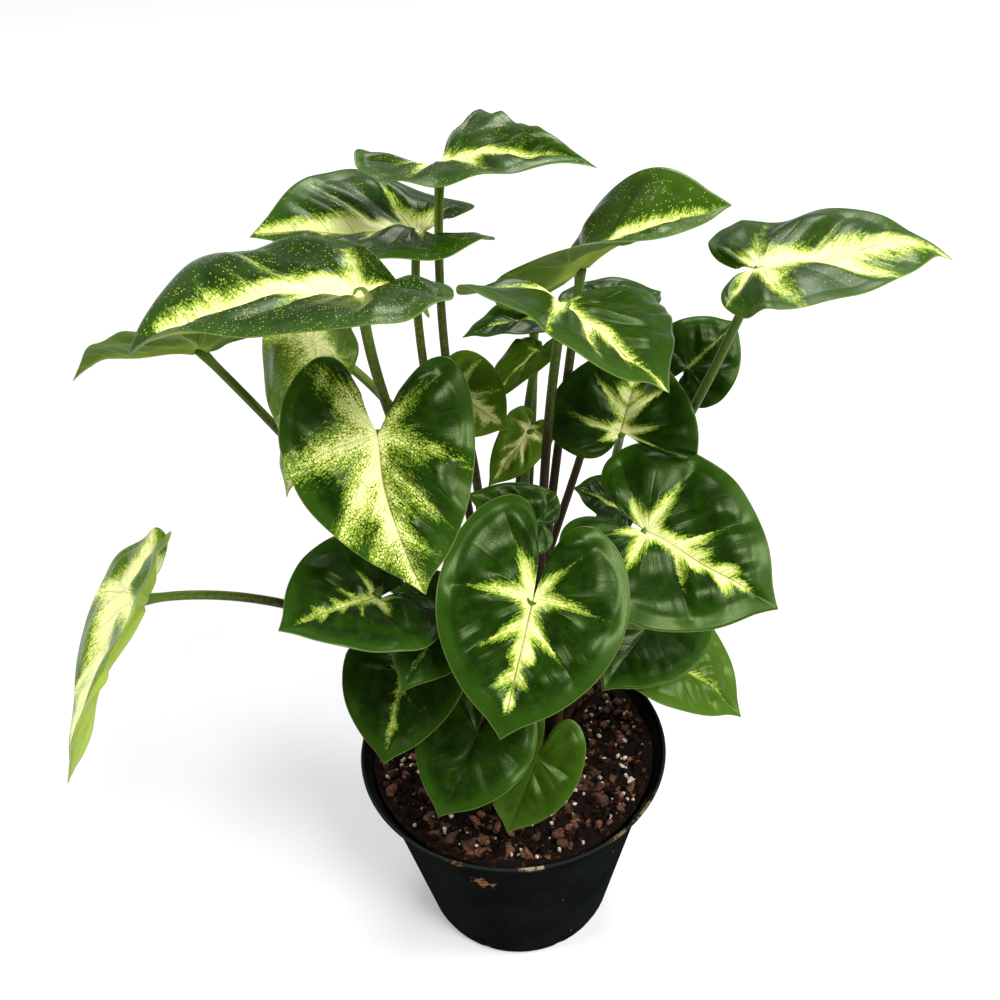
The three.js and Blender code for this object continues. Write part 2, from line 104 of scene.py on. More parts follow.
# Petioles. Each starts straight up from its foot, just above the soil.
PETIOLE_STANDOFF = 6.4
PETIOLE_FOOT = 1
PETIOLE_SUNK = 6
PETIOLE_RISE = 0.45
PETIOLE_REACH = 0.35
PETIOLE_LEAN = 0.4
PETIOLE_RADIUS = 1.45
PETIOLE_TAPER = 0.25
SHEATH_SWELL = 0.45
JOINT_FLARE = 0.35
SHORT_SPAN = 60
SHORT_SLENDER = 0.85
PETIOLE_SIDES = 16
PETIOLE_STEPS = 64

# Blades. The margin is given as degrees from the midrib, and distance from the joint for a midrib
# 1 long. LEAST_BEND keeps the formulas for curved parts good for flat ones.
BLADE_THICKNESS = 0.5
EDGE_THICKNESS = 0.18
EDGE_RING = 0.93
HALF_WIDTH = 0.7
TAPER_MIDDLE = 0.2
HOOK_START = 0.7
WAVES = 3
LEAST_BEND = 1e-3
MARGIN = [
    (0, 1.0), (3, 0.95), (9, 0.885), (23, 0.81), (40, 0.745), (62, 0.7), (85, 0.68),
    (105, 0.68), (125, 0.69), (143, 0.68), (156, 0.64), (166, 0.52), (173, 0.3),
]
MARGIN_END = 173
LARGE_MIDRIB = 30
LARGE_GRID = (96, 36)
SMALL_GRID = (60, 22)

# Veins of a flat blade whose midrib is 1 long. A lateral vein is named by its place: 0 to 1 is
# where it leaves the midrib, and 0 to -1 is its turn in the fan behind the joint.
LATERAL_ANGLE = radians(56)
LATERAL_BOW = 0.5
FAN_ANGLE = radians(112)
LATERALS = [-1.14, -0.86, -0.6, -0.32, -0.05, 0.17, 0.36, 0.54, 0.71, 0.87, 1.1]
FIRST_AHEAD = 5
VEIN_SHIFT = 0.03

# The light star: an arm along each lateral vein, and a heart round the joint
ARM_REACH = [0, 0.32, 0.12, 0.42, 0.14, 0.34, 0.13, 0.13, 0.05, 0, 0]
ARM_WIDTH = 0.085
ARM_FLOOR = -0.2
REACH_SPREAD = (0.8, 1.2)
WIDTH_SPREAD = (0.75, 1.25)
HEART_RADIUS = 0.13

# Relief, as shares of the midrib's length: pillows between the veins, puckers, the collective vein
# inside the margin, the midrib's groove and the ripples of the margin. The rib below is in millimetres.
VEIN_DEPTH = [0.5, 0.9, 0.1, 1, 0.15, 1, 0.2, 0.9, 0.2, 0.5, 0]
VEIN_WIDTH = 0.055
PILLOW_HEIGHT = 0.035
PUCKERS = 6
PUCKER_WAVES = (4, 13)
PUCKER_HEIGHT = 0.013
COLLECTIVE_RING = 0.86
COLLECTIVE_DEPTH = 0.003
GROOVE_DEPTH = 0.01
RIPPLES = 5
RIPPLE_WAVES = (3, 12)
RIPPLE_HEIGHT = 0.007
RIB_DEPTH = 0.9
RIB_WIDTH = 0.02

# The usual leaf. A pair is for the left and the right half, angles are in degrees, and pull bends
# the petiole clear of others. star scales the light arms, band is the light band's half width at the
# joint, fill lightens each half, sharp is how suddenly light turns to dark, net darkens its meshes,
# fleck is the share of light dots, tone runs from dark to plain green, and relief scales the pillows.
USUAL = {
    "width": 1, "taper": (0, 0), "lobe": (1, 1), "sinus": (7, 7), "fold": (8, 8), "curl": (0, 0),
    "droop": 15, "hook": 0, "lift": (0, 0), "twist": 0, "sweep": 0, "wave": 0.02, "pull": None,
    "star": 1, "band": 0.07, "band_end": 0.85, "fill": (0, 0), "sharp": 1, "net": 0.3, "fleck": 0,
    "tone": 0, "relief": 1,
}
STARLESS = {"star": 0, "band": 0, "fill": (-0.1, -0.1)}


def leaf_row(shoot, side, joint, tip, faces, **own):
    """The shoot and its side that bear the leaf, the midrib's ends, the way that its upper side
    faces, and what differs from the usual leaf."""
    joint, tip, faces = np.array([joint, tip, faces], float)
    place = {"shoot": shoot, "side": side, "joint": joint, "tip": tip, "faces": faces}
    return SimpleNamespace(**{**place, **USUAL, **own})


LEAVES = {
    "leaf_01": leaf_row(
        "stem_3", 250, (-11, 28, 257), (28, 12, 259), (0, -0.1, 1),
        width=0.95, taper=(1, 0), lobe=(0.6, 0.9), sinus=(70, 16), fold=(12, 12), curl=(-16, 0), droop=0,
        hook=1.8, lift=(0, 120), twist=10, pull=(-20, 39, 183),
        star=0.6, band=0.14, fill=(0, 0.05), net=0.7, fleck=0.42, tone=0.1,
    ),
    "leaf_02": leaf_row(
        "stem_3", 170, (-18.5, 28, 239), (-61, 18, 244), (0, 0.05, 1),
        taper=(0, -0.35), lobe=(0.68, 1.2), sinus=(15, 40), fold=(8, 26), curl=(0, -26), droop=0,
        hook=0.6, lift=(-20, 25), twist=-20, pull=(-26, 30, 195),
        star=0.6, band=0.12, band_end=0.95, fill=(0.02, 0.05), fleck=0.4, tone=0.05,
    ),
    "leaf_03": leaf_row(
        "stem_1", 330, (-26.5, -42, 252.8), (-75, -50, 244), (0, 0.1, 1),
        width=0.94, taper=(0, -1.8), lobe=(0.6, 0.5), fold=(7, 22), curl=(0, -30), droop=4, hook=1.1,
        lift=(-30, -60), pull=(-30, -24, 205),
        star=0.55, band=0.11, fill=(0.01, 0.05), net=0.6, fleck=0.48, tone=0.05,
    ),
    "leaf_04": leaf_row(
        "stem_1", 275, (-27, -40, 217), (-18, -60, 186), (0.1, -0.8, 0.55),
        width=0.88, sinus=(30, 24), fold=(4, 16), droop=8, sweep=0.22,
        star=1.3, band=0.14, band_end=1.1, fill=(0.03, 0.12), sharp=0.36, net=1.3,
    ),
    "leaf_05": leaf_row(
        "stem_1", 130, (-43, -8, 225), (-55, -20, 188), (-0.8, -0.5, 0.25),
        width=0.75, lobe=(0.6, 0.6), droop=10, wave=0.05,
        # Tone and fill are raised partly as painted light, for a leaf in shade that faces away; its lime
        # mottle is its own colour
        star=0.8, band=0.12, fill=(0.16, 0.13), sharp=0.4, net=1.5, fleck=0.5, tone=0.8,
    ),
    "leaf_06": leaf_row(
        "stem_1", 170, (-75, 0, 222), (-107, -5, 217), (0, 0.3, 1),
        lobe=(0.8, 0.8), fold=(24, 16), droop=-6, hook=2, pull=(-52, 0, 187),
        star=0.5, band=0.06, tone=0.5,
    ),
    "leaf_07": leaf_row(
        "stem_1", 205, (-91, -40, 173), (-109, -70, 141), (-0.9, -0.35, 0.3),
        width=0.8, lobe=(0.65, 0.65), fold=(14, 14), droop=10, pull=(-64, -22, 164),
        # Tone and fill are raised partly as painted light, standing for light through a leaf in the
        # shade of leaf_01; its cream upper part is its own colour
        band=0.3, fill=(0.16, 0.18), sharp=0.6, net=0.8, fleck=0.4, tone=0.6,
    ),
    "leaf_08": leaf_row(
        "stem_1", 240, (-33, -38, 168), (-54, -57, 175), (-0.2, -0.5, 0.8),
        lobe=(0.85, 0.85), droop=10, pull=(-30, -14, 165),
        star=0.75, band=0.065,
    ),
    "leaf_09": leaf_row(
        "stem_5", 60, (-14, -31, 158), (-28, -50, 146), (-0.2, -0.6, 0.7),
        width=0.8, lobe=(0.7, 0.5), pull=(-10, -17, 150),
        star=0.3, band=0.05, band_end=0.7,
    ),
    "leaf_10": leaf_row(
        "stem_2", 250, (7, -44, 170), (-3, -68, 146), (0, -0.75, 0.65),
        lobe=(1, 1.2), fold=(6, 6), droop=8,
        band=0.095, band_end=0.82,
    ),
    "leaf_11": leaf_row(
        "stem_2", 330, (39, -20, 171), (71, -38, 157), (0.15, -0.6, 0.75),
        lobe=(0.85, 0.85), fold=(6, 6), droop=10, pull=(22, -16, 160),
        star=0.95, band=0.1, band_end=0.8,
    ),
    "leaf_12": leaf_row(
        "stem_2", 20, (44, -3, 124), (27, -24, 117), (0.1, -0.5, 0.8),
        pull=(28, -8, 118),
        **STARLESS, relief=0.6,
    ),
    "leaf_13": leaf_row(
        "stem_4", 310, (44, 7, 109), (74, -8, 86), (0.4, -0.3, 0.85),
        width=0.85, lobe=(0.5, 0.5), sinus=(7, 50), pull=(38, -2, 96),
        star=0.3, band=0.1, net=0.6, tone=0.35,
    ),
    "leaf_14": leaf_row(
        "stem_4", 350, (65, -10, 240), (109, -14, 241), (0, -0.12, 1),
        lobe=(0.45, 0.42), sinus=(12, 12), fold=(-2, 10), curl=(-6, 0), droop=4, hook=1.5, lift=(0, -30),
        pull=(46, 22, 142),
        band=0.18, band_end=1, fill=(0.03, 0.09), sharp=0.6, net=0.6, fleck=0.35, tone=0.1,
    ),
    "leaf_15": leaf_row(
        "stem_4", 215, (23, 3, 237), (60, 3, 251), (0, 0, 1),
        taper=(-0.3, 0.3), lobe=(0.85, 0.7), fold=(0, 33), curl=(-8, 0), droop=30, lift=(0, -40),
        twist=36, pull=(22, 19, 198),
        star=0.6, band=0.12, band_end=0.95, fill=(0, 0.02), net=0.6, fleck=0.45, tone=0.2,
    ),
    "leaf_16": leaf_row(
        "stem_2", 80, (17, -24, 240), (39, -40, 224), (0.35, -0.5, 0.8),
        width=1.25, taper=(-1.9, 0), lobe=(0.8, 0.85), sinus=(95, 30), fold=(-12, 31), curl=(-10, 0),
        droop=10, lift=(-35, -150), pull=(13, -3, 200),
        star=0.7, band=0.12, band_end=1, fill=(-0.02, 0.06), net=0.8, tone=0.1,
    ),
    "leaf_17": leaf_row(
        "stem_4", 30, (34, 1, 190), (42, 14, 211), (0, -0.7, 0.7),
        width=1.2, lobe=(0.62, 0.35), sinus=(7, 50),
        star=1.1, band_end=0.5,
    ),
    "leaf_18": leaf_row(
        "stem_4", 60, (60, 42, 187), (76, 50, 198), (0.1, -0.7, 0.7),
        lobe=(0.7, 0.7),
        star=0.2, band=0.03,
    ),
    "leaf_19": leaf_row(
        "stem_3", 30, (34, 40, 210), (52, 50, 209), (0, -0.05, 1),
        star=0.3, band=0.04,
    ),
    "leaf_20": leaf_row(
        "stem_3", 350, (12, 22, 215), (-8, 17, 213), (0, 0, 1),
        width=0.8, lobe=(0.4, 0.4),
        star=0.5,
    ),
    "leaf_21": leaf_row(
        "stem_3", 300, (12, 8, 212), (-3, -4, 201), (-0.3, 0, 1),
        width=0.6, lobe=(0.4, 0.3), pull=(6, 12, 180),
        star=0.6, tone=0.5,
    ),
    "leaf_22": leaf_row(
        "stem_1", 20, (-10, -12, 212), (3, -20, 205), (-0.1, -0.7, 0.7),
        lobe=(0.7, 0.7),
        fill=(0.06, 0.06), net=1.2, tone=0.8,
    ),
    "leaf_23": leaf_row(
        "stem_2", 130, (9, 2, 192), (-3, -6, 179), (0.5, -0.7, 0.5),
        width=0.6, lobe=(0.4, 0.4), pull=(6, 2, 165),
        fill=(0.05, 0.05), net=1, tone=1,
    ),
    "leaf_24": leaf_row(
        "stem_2", 180, (10, -20, 176), (-9, -18, 185), (0, -0.5, 0.8),
        width=0.65, lobe=(0.4, 0.4),
        **STARLESS, relief=0.6,
    ),
    "leaf_25": leaf_row(
        "stem_4", 255, (34, 6, 161), (21, 3, 171), (0, -0.4, 0.9),
        width=0.85, lobe=(0.4, 0.4), pull=(28, 2, 135),
        star=0.2,
    ),
    "leaf_26": leaf_row(
        "stem_5", 170, (-29, -26, 131), (-36, -46, 115), (-0.2, -0.7, 0.7),
        lobe=(0.6, 0.6),
        star=0.5,
    ),
    "leaf_27": leaf_row(
        "stem_5", 250, (-10, -36, 114), (-22, -52, 99), (0, -0.65, 0.75),
        **STARLESS, relief=0.5,
    ),
    "leaf_28": leaf_row(
        "stem_2", 290, (7, -34, 101), (-3, -46, 83), (0.2, -0.6, 0.8),
        width=0.85,
        **STARLESS, tone=0.15, relief=0.6,
    ),
}

# Camera, as fitted to the ellipses of the pot's rim and base
CAMERA_AT = Vector((0, -0.246, 0.338))
CAMERA_PITCH = radians(34.3)
CAMERA_ROLL = radians(3.0)
CAMERA_LENS = 37.8
SENSOR = 36

# Stage: a floor, a round backdrop, a soft sky that is lightest along one axis, and soft boxes by
# where they stand in metres, their side and their power
FLOOR_REACH = 5000
WALL_RADIUS = 4800
WALL_HEIGHT = 4500
WALL_SIDES = 96
SKY_AXIS = (0.3, 0.25, 0.92)
SKY_RANGE = {"From_Min": -0.1, "From_Max": 0.95, "To_Min": 0.06, "To_Max": 0.43}
LIGHT_AIM = Vector((0, 0, 0.15))
SOFT_BOXES = {
    "key_light": ((0.45, -0.65, 1.2), 0.4, 19),
    "back_light": ((0.2, 0.8, 1.1), 0.5, 9),
    "left_light": ((-1.0, -0.25, 0.75), 0.5, 11),
    "right_light": ((0.95, -0.2, 0.75), 0.4, 12),
}


def rgb(red, green, blue):
    """A screen colour, 0 to 255, as the linear colour that a node takes."""
    channels = []
    for value in (red, green, blue):
        share = value / 255
        channels.append(share / 12.92 if share <= 0.04045 else ((share + 0.055) / 1.055) ** 2.4)
    return (*channels, 1)


# Colours. A pair is the darker and the lighter side of a mottle.
LEAF_GREENS = rgb(14, 34, 2), rgb(27, 54, 4)
LEAF_MARGIN = rgb(48, 82, 16)
# A painted highlight: a pale line along the very edge of the upper side
LEAF_PLAIN = rgb(84, 116, 20)
LEAF_EDGE_HIGHLIGHT = rgb(128, 136, 74)
LEAF_SHEEN = rgb(206, 232, 160)
LEAF_GLOW = rgb(220, 240, 90)
STAR_STOPS = [
    (0, rgb(90, 118, 26)), (0.2, rgb(158, 176, 68)),
    (0.42, rgb(206, 213, 118)), (0.75, rgb(228, 231, 160)),
]
STAR_VEIN = rgb(112, 112, 52)
GROUND_VEIN = rgb(44, 80, 18)
UNDER_GREENS = rgb(76, 106, 24), rgb(102, 132, 36)
UNDER_STAR = rgb(150, 174, 64)
UNDER_VEIN = rgb(160, 178, 84)
STALK_BROWNS = rgb(30, 20, 8), rgb(54, 38, 16)
STALK_GREENS = rgb(64, 88, 24), rgb(96, 120, 40)
SHOOT_TINTS = rgb(48, 46, 22), rgb(84, 92, 40)
SHOOT_PAPER = rgb(110, 92, 56)
POT_BLACKS = rgb(13, 16, 14), rgb(19, 22, 20)
POT_DUST = rgb(92, 84, 70)
POT_SPECK = rgb(120, 122, 118)
POT_RIM = rgb(34, 37, 38)
PEAT_BROWNS = rgb(5, 3, 1), rgb(26, 14, 8)
PEAT_FIBRE = rgb(92, 56, 36)
BARK_STOPS = [(0.3, rgb(24, 12, 7)), (0.5, rgb(86, 52, 34)), (0.72, rgb(150, 104, 74))]
BARK_DARK = rgb(34, 19, 11)
PERLITE_TINTS = rgb(206, 194, 178), rgb(128, 100, 78)
PERLITE_PORE = rgb(96, 78, 62)
FLOOR_GREYS = rgb(186, 186, 186), rgb(190, 190, 190)
WALL_WHITES = rgb(250, 250, 250), rgb(254, 254, 254)
WHITE = (1, 1, 1, 1)

# Dried soil on the pot: its colour, where it sits and how far it spreads
RESIDUE = [
    (rgb(142, 98, 66), (-11.5, -42.5, 55), 2.6),
    (rgb(112, 84, 56), (-19.5, -46.5, 69), 2.6),
    (rgb(146, 134, 108), (4, -50.5, 71.5), 3.4),
    (rgb(104, 94, 62), (41, -31, 71), 5),
    (rgb(104, 94, 62), (31, -41, 71.5), 3),
]


class Shade:
    """A material under construction: each call adds a node and returns its output."""

    def __init__(self, name, kind="Material"):
        self.owner = (bpy.data.worlds if kind == "World" else bpy.data.materials).new(name)
        self.owner.use_nodes = True
        self.tree = self.owner.node_tree
        self.tree.nodes.clear()
        self.output = self.node("Output" + kind)

    def node(self, kind, settings=None, **inputs):
        """The node itself, with its settings and with its inputs fed by name."""
        node = self.tree.nodes.new("ShaderNode" + kind)
        for key, value in (settings or {}).items():
            setattr(node, key, value)
        for key, value in inputs.items():
            self.feed(node.inputs[key.replace("_", " ")], value)
        return node

    def feed(self, socket, value):
        """Links an output to the socket, or sets the socket's own value."""
        if isinstance(value, bpy.types.NodeSocket):
            self.tree.links.new(value, socket)
        else:
            socket.default_value = value

    def fed(self, kind, settings, values):
        """The node itself, with its first inputs fed in turn."""
        node = self.node(kind, settings)
        for socket, value in zip(node.inputs, values):
            self.feed(socket, value)
        return node

    def math(self, operation, a, b):
        return self.fed("Math", {"operation": operation}, (a, b)).outputs[0]

    def sum(self, first, *others):
        for other in others:
            first = self.math("ADD", first, other)
        return first

    def times(self, a, b):
        return self.math("MULTIPLY", a, b)

    def most(self, a, b):
        return self.math("MAXIMUM", a, b)

    def step(self, value, low=0.3, high=0.7, start=0.0, end=1.0):
        """Eases from start to end as value goes from low to high, which suit a noise unless given."""
        node = self.node(
            "MapRange", {"interpolation_type": "SMOOTHSTEP"}, Value=value,
            From_Min=low, From_Max=high, To_Min=start, To_Max=end,
        )
        return node.outputs["Result"]

    def mix(self, factor, a, b, blend="MIX"):
        node = self.node("Mix", {"data_type": "RGBA", "blend_type": blend})
        self.feed(node.inputs[0], factor)
        self.feed(node.inputs[6], a)
        self.feed(node.inputs[7], b)
        return node.outputs[2]

    def attribute(self, name):
        return self.node("Attribute", {"attribute_name": name}).outputs["Vector"]

    def split(self, vector):
        """The three channels of a vector."""
        return self.node("SeparateXYZ", Vector=vector).outputs

    def vector(self, x, y, z):
        return self.fed("CombineXYZ", None, (x, y, z)).outputs[0]

    def vector_math(self, operation, *values):
        return self.fed("VectorMath", {"operation": operation}, values).outputs

    def place(self):
        """The point on the object, in millimetres."""
        where = self.node("TexCoord").outputs["Object"]
        return self.vector_math("MULTIPLY", where, (1 / MM, 1 / MM, 1 / MM))["Vector"]

    def noise(self, vector, scale, detail=3, rough=0.5, warp=0.0, output="Fac"):
        node = self.node(
            "TexNoise", Vector=vector, Scale=scale, Detail=detail, Roughness=rough, Distortion=warp,
        )
        return node.outputs[output]

    def cells(self, vector, scale, feature="F1"):
        return self.node("TexVoronoi", {"feature": feature}, Vector=vector, Scale=scale)

    def ramp(self, factor, stops):
        node = self.node("ValToRGB", Fac=factor)
        elements = node.color_ramp.elements
        while len(elements) < len(stops):
            elements.new(0.5)
        for element, (place, colour) in zip(elements, stops):
            element.position = place
            element.color = colour
        return node.outputs["Color"]

    def bump(self, height, strength, distance, normal=None):
        node = self.node("Bump", Height=height, Strength=strength, Distance=distance)
        if normal:
            self.feed(node.inputs["Normal"], normal)
        return node.outputs["Normal"]

    def gloss(self, colour, rough, normal, shine=0.5, **others):
        return self.node(
            "BsdfPrincipled", Base_Color=colour, Roughness=rough, Normal=normal,
            Specular_IOR_Level=shine, **others,
        ).outputs[0]

    def surface(self, shader):
        self.feed(self.output.inputs["Surface"], shader)
        return self.owner


def vein_net(s, flat):
    """Distance to the nearest line of a fine net of veins with uneven meshes."""
    shift = s.noise(flat, 0.7, 2, output="Color")
    bent = s.vector_math("MULTIPLY_ADD", shift, (1.6, 1.6, 0), flat)["Vector"]
    mesh = s.cells(bent, 1.15, "DISTANCE_TO_EDGE")
    mesh.voronoi_dimensions = "2D"
    return mesh.outputs["Distance"]


def star_field(s, light, streak, grain, net, flat, netting, fleck):
    """Light above 0, ground below: the star's edge is broken into streaks and fine dots, its meshes
    are darker than its veins, and flecks of light lie on the ground."""
    drift = s.noise(flat, 0.16, 2)
    cell = s.cells(flat, 1.7)
    chance = s.split(cell.outputs["Color"])["X"]
    field = s.sum(
        s.times(light, 30), s.step(streak, 0.3, 0.7, -0.55, 0.55), s.step(drift, 0.3, 0.7, -0.3, 0.3),
        s.step(grain, 0.3, 0.7, -0.25, 0.25), s.step(chance, 0, 1, -0.15, 0.15),
    )
    meshes = s.times(s.step(net, 0, 0.13, -1.6, 0), s.step(field, 1.2, 2.6, 1, 0.05))
    field = s.sum(field, s.times(meshes, netting))
    chosen = s.sum(s.times(chance, 0.3), s.times(drift, 0.7))
    dots = s.math("GREATER_THAN", chosen, s.math("SUBTRACT", 1, fleck))
    dots = s.times(dots, s.step(cell.outputs["Distance"], 0.45, 0.25))
    dots = s.math("SUBTRACT", s.times(dots, s.step(grain, 0.35, 0.6, 4.1, 4.9)), 4)
    return s.most(field, dots)


def leaf_material():
    """Variegated blade: dark green ground, light star along the veins, olive underside."""
    s = Shade("leaf_blade")
    light, place, spacing = s.split(s.attribute("pattern"))
    across, ring, under = s.split(s.attribute("zone"))
    tone, netting, fleck = s.split(s.attribute("tone"))
    flat = s.attribute("flat")
    seed = s.split(flat)["Z"]
    lateral_line = s.times(spacing, s.math("PINGPONG", place, 0.5))
    fine_line = s.math("PINGPONG", s.times(place, 6), 0.5)
    streak = s.noise(s.vector(s.times(place, 9), s.times(across, 10), seed), 1.6, 3, 0.65)
    grain = s.noise(flat, 1.9, 3, 0.65)
    net = vein_net(s, flat)
    field = star_field(s, light, streak, grain, net, flat, netting, fleck)

    # Upper side
    ground = s.mix(s.step(s.noise(flat, 0.3, 3, 0.6)), *LEAF_GREENS)
    ground = s.mix(s.step(ring, 0.75, 0.98, 0, 0.5), ground, LEAF_MARGIN)
    ground = s.mix(tone, ground, LEAF_PLAIN)
    pale = s.ramp(s.step(field, 0, 3), STAR_STOPS)
    colour = s.mix(s.step(field, -0.15, 0.15), ground, pale)
    midrib = s.step(across, 0.003, 0.007, 0.8, 0)
    inside = s.step(ring, 0.8, 0.87, 1, 0)
    lateral = s.times(s.step(lateral_line, 0.0015, 0.005, 0.5, 0), inside)
    fine = s.times(s.step(fine_line, 0.02, 0.08, 0.2, 0), s.times(s.step(field, 0.2, 1.2), inside))
    vein = s.most(s.most(midrib, lateral), fine)
    colour = s.mix(s.times(vein, s.step(field, -0.1, 0.6)), colour, STAR_VEIN)
    colour = s.mix(s.times(vein, s.step(field, 0, -0.6, 0, 0.2)), colour, GROUND_VEIN)
    # Painted highlight: a pale line along the very edge of the upper side
    colour = s.mix(s.step(ring, 0.986, 0.998, 0, 0.45), colour, LEAF_EDGE_HIGHLIGHT)

    # Underside
    below = s.mix(s.step(grain), *UNDER_GREENS)
    below = s.mix(s.step(light, -0.06, 0.05), below, UNDER_STAR)
    veins = s.most(s.step(across, 0.01, 0.02, 0.6, 0), s.step(lateral_line, 0.004, 0.01, 0.35, 0))
    colour = s.mix(under, colour, s.mix(veins, below, UNDER_VEIN))

    relief = s.sum(s.step(lateral_line, 0, 0.016), s.times(s.step(net, 0, 0.3), 0.25))
    relief = s.times(s.sum(relief, s.times(s.step(fine_line, 0, 0.35), 0.14)), inside)
    normal = s.bump(relief, 0.18, 0.0002)
    normal = s.bump(s.noise(flat, 2.5, 3, 0.6), 0.15, 0.00008, normal)
    rough = s.sum(s.step(grain, 0.2, 0.8, 0.24, 0.36), s.times(under, 0.2))
    gloss = s.gloss(
        colour, rough, normal, 0.22, Specular_Tint=LEAF_SHEEN,
    )
    glow = s.node("BsdfTranslucent", Color=s.mix(1, colour, LEAF_GLOW, "MULTIPLY"), Normal=normal)
    return s.surface(s.fed("MixShader", None, (0.15, gloss, glow.outputs[0])).outputs[0])


def petiole_material():
    """Leaf stalk: dark brown below, green near the blade, faintly striped along its length."""
    s = Shade("petiole")
    along, turn, seed = s.split(s.attribute("stalk"))
    stripes = s.noise(s.vector(s.times(turn, 6), s.times(along, 3), seed), 2)
    specks = s.noise(s.place(), 1.4, 3, 0.6)
    low = s.mix(s.step(stripes), *STALK_BROWNS)
    high = s.mix(s.step(stripes), *STALK_GREENS)
    share = s.sum(along, s.step(specks, 0.2, 0.8, -0.12, 0.12))
    colour = s.mix(s.step(share, 0.6, 1), low, high)
    normal = s.bump(s.sum(stripes, s.times(specks, 0.5)), 0.3, 0.0003)
    return s.surface(s.gloss(colour, 0.42, normal, 0.1))


def stem_material():
    """Shoot: a brown-green mottle with dry papery patches."""
    s = Shade("shoot")
    where = s.place()
    mottle = s.noise(where, 0.5, 4, 0.6)
    colour = s.mix(s.step(mottle, 0.35, 0.65), *SHOOT_TINTS)
    colour = s.mix(s.step(s.noise(where, 1.2), 0.6, 0.72), colour, SHOOT_PAPER)
    normal = s.bump(mottle, 0.5, 0.0005)
    return s.surface(s.gloss(colour, 0.55, normal))


def pot_material():
    """Matte black moulded plastic, lighter in a band round the top of the rim, with dust, a few pale
    specks and dried soil.
    """
    s = Shade("pot_plastic")
    where = s.place()
    height = s.split(where)["Z"]
    colour = s.mix(s.step(s.noise(where, 0.05)), *POT_BLACKS)
    dust = s.step(s.noise(where, 0.35, 5, 0.7), 0.5, 0.75)
    low = s.step(height, 18, 0, 0, 0.12)
    colour = s.mix(s.times(dust, s.sum(low, 0.03)), colour, POT_DUST)
    specks = s.step(s.cells(where, 0.12).outputs["Distance"], 0.03, 0.06, 0.55, 0)
    colour = s.mix(specks, colour, POT_SPECK)
    rim = s.step(height, POT_HEIGHT - 1.0, POT_HEIGHT - 0.2, 0, 0.5)
    colour = s.mix(rim, colour, POT_RIM)
    ragged = s.noise(where, 0.5, 4, 0.7)
    for soil, at, spread in RESIDUE:
        away = s.vector_math("DISTANCE", where, at)["Value"]
        away = s.sum(away, s.step(ragged, 0.3, 0.7, -spread, spread))
        colour = s.mix(s.step(away, spread, spread * 0.4, 0, 0.8), colour, soil)
    grain = s.noise(where, 2.2, 3, 0.6)
    rough = s.step(grain, 0.3, 0.7, 0.55, 0.7)
    normal = s.bump(grain, 0.3, 0.00012)
    return s.surface(s.gloss(colour, rough, normal, 0))


def peat_material():
    """Peat: dark brown with lighter fibres and damp patches."""
    s = Shade("peat")
    where = s.place()
    coarse = s.noise(where, 0.35, 5, 0.7)
    fine = s.noise(where, 1.6, 5, 0.7)
    colour = s.mix(s.step(fine, 0.35, 0.65), *PEAT_BROWNS)
    colour = s.mix(s.step(coarse, 0.54, 0.68, 0, 0.7), colour, PEAT_FIBRE)
    rough = s.step(coarse, 0.3, 0.7, 0.62, 0.95)
    normal = s.bump(s.sum(fine, coarse), 0.9, 0.0012)
    return s.surface(s.gloss(colour, rough, normal, 0.08))


def bark_material():
    """Bark chips: reddish brown with a grain."""
    s = Shade("bark")
    where = s.place()
    grain = s.noise(where, 1.1, 5, 0.65, 1.5)
    colour = s.ramp(grain, BARK_STOPS)
    colour = s.mix(s.step(s.noise(where, 0.11, 2), 0.42, 0.58, 0, 0.75), colour, BARK_DARK)
    normal = s.bump(grain, 0.8, 0.0009)
    return s.surface(s.gloss(colour, 0.72, normal, 0.2))


def perlite_material():
    """Perlite: off-white porous grains, stained by the peat."""
    s = Shade("perlite")
    where = s.place()
    stain = s.noise(where, 0.7, 4, 0.6)
    pores = s.cells(where, 2.4).outputs["Distance"]
    colour = s.mix(s.step(stain, 0.35, 0.7), *PERLITE_TINTS)
    colour = s.mix(s.step(pores, 0.12, 0.3, 0.5, 0), colour, PERLITE_PORE)
    normal = s.bump(s.sum(pores, stain), 0.7, 0.0006)
    return s.surface(s.gloss(colour, 0.8, normal))


def floor_material():
    """Pale seamless paper that glows as painted light, more strongly away from the plant."""
    s = Shade("studio_floor")
    s.owner.cycles.emission_sampling = "NONE"
    where = s.place()
    away = s.vector_math("LENGTH", where)["Value"]
    # Painted light: the paper glows, faintly near the plant and more strongly further away
    paper = s.node(
        "BsdfPrincipled", Base_Color=s.mix(s.noise(where, 0.02), *FLOOR_GREYS), Roughness=0.9,
        Emission_Color=WHITE, Emission_Strength=s.step(away, 350, 1300, 0.18, 0.75),
    )
    return s.surface(paper.outputs[0])


def wall_material():
    """Pale backdrop."""
    s = Shade("studio_wall")
    s.owner.cycles.emission_sampling = "NONE"
    colour = s.mix(s.noise(s.place(), 0.002), *WALL_WHITES)
    return s.surface(s.node("Emission", Color=colour).outputs[0])


def sky():
    """Soft light from all round, strongest along one axis."""
    s = Shade("studio", "World")
    facing = s.vector_math("DOT_PRODUCT", s.node("TexCoord").outputs["Generated"], SKY_AXIS)["Value"]
    strength = s.node("MapRange", Value=facing, **SKY_RANGE).outputs["Result"]
    return s.surface(s.node("Background", Color=WHITE, Strength=strength).outputs[0])


def add_object(name, data):
    """An object of a mesh, lamp or camera, put in the scene."""
    thing = bpy.data.objects.new(name, data)
    bpy.context.scene.collection.objects.link(thing)
    return thing


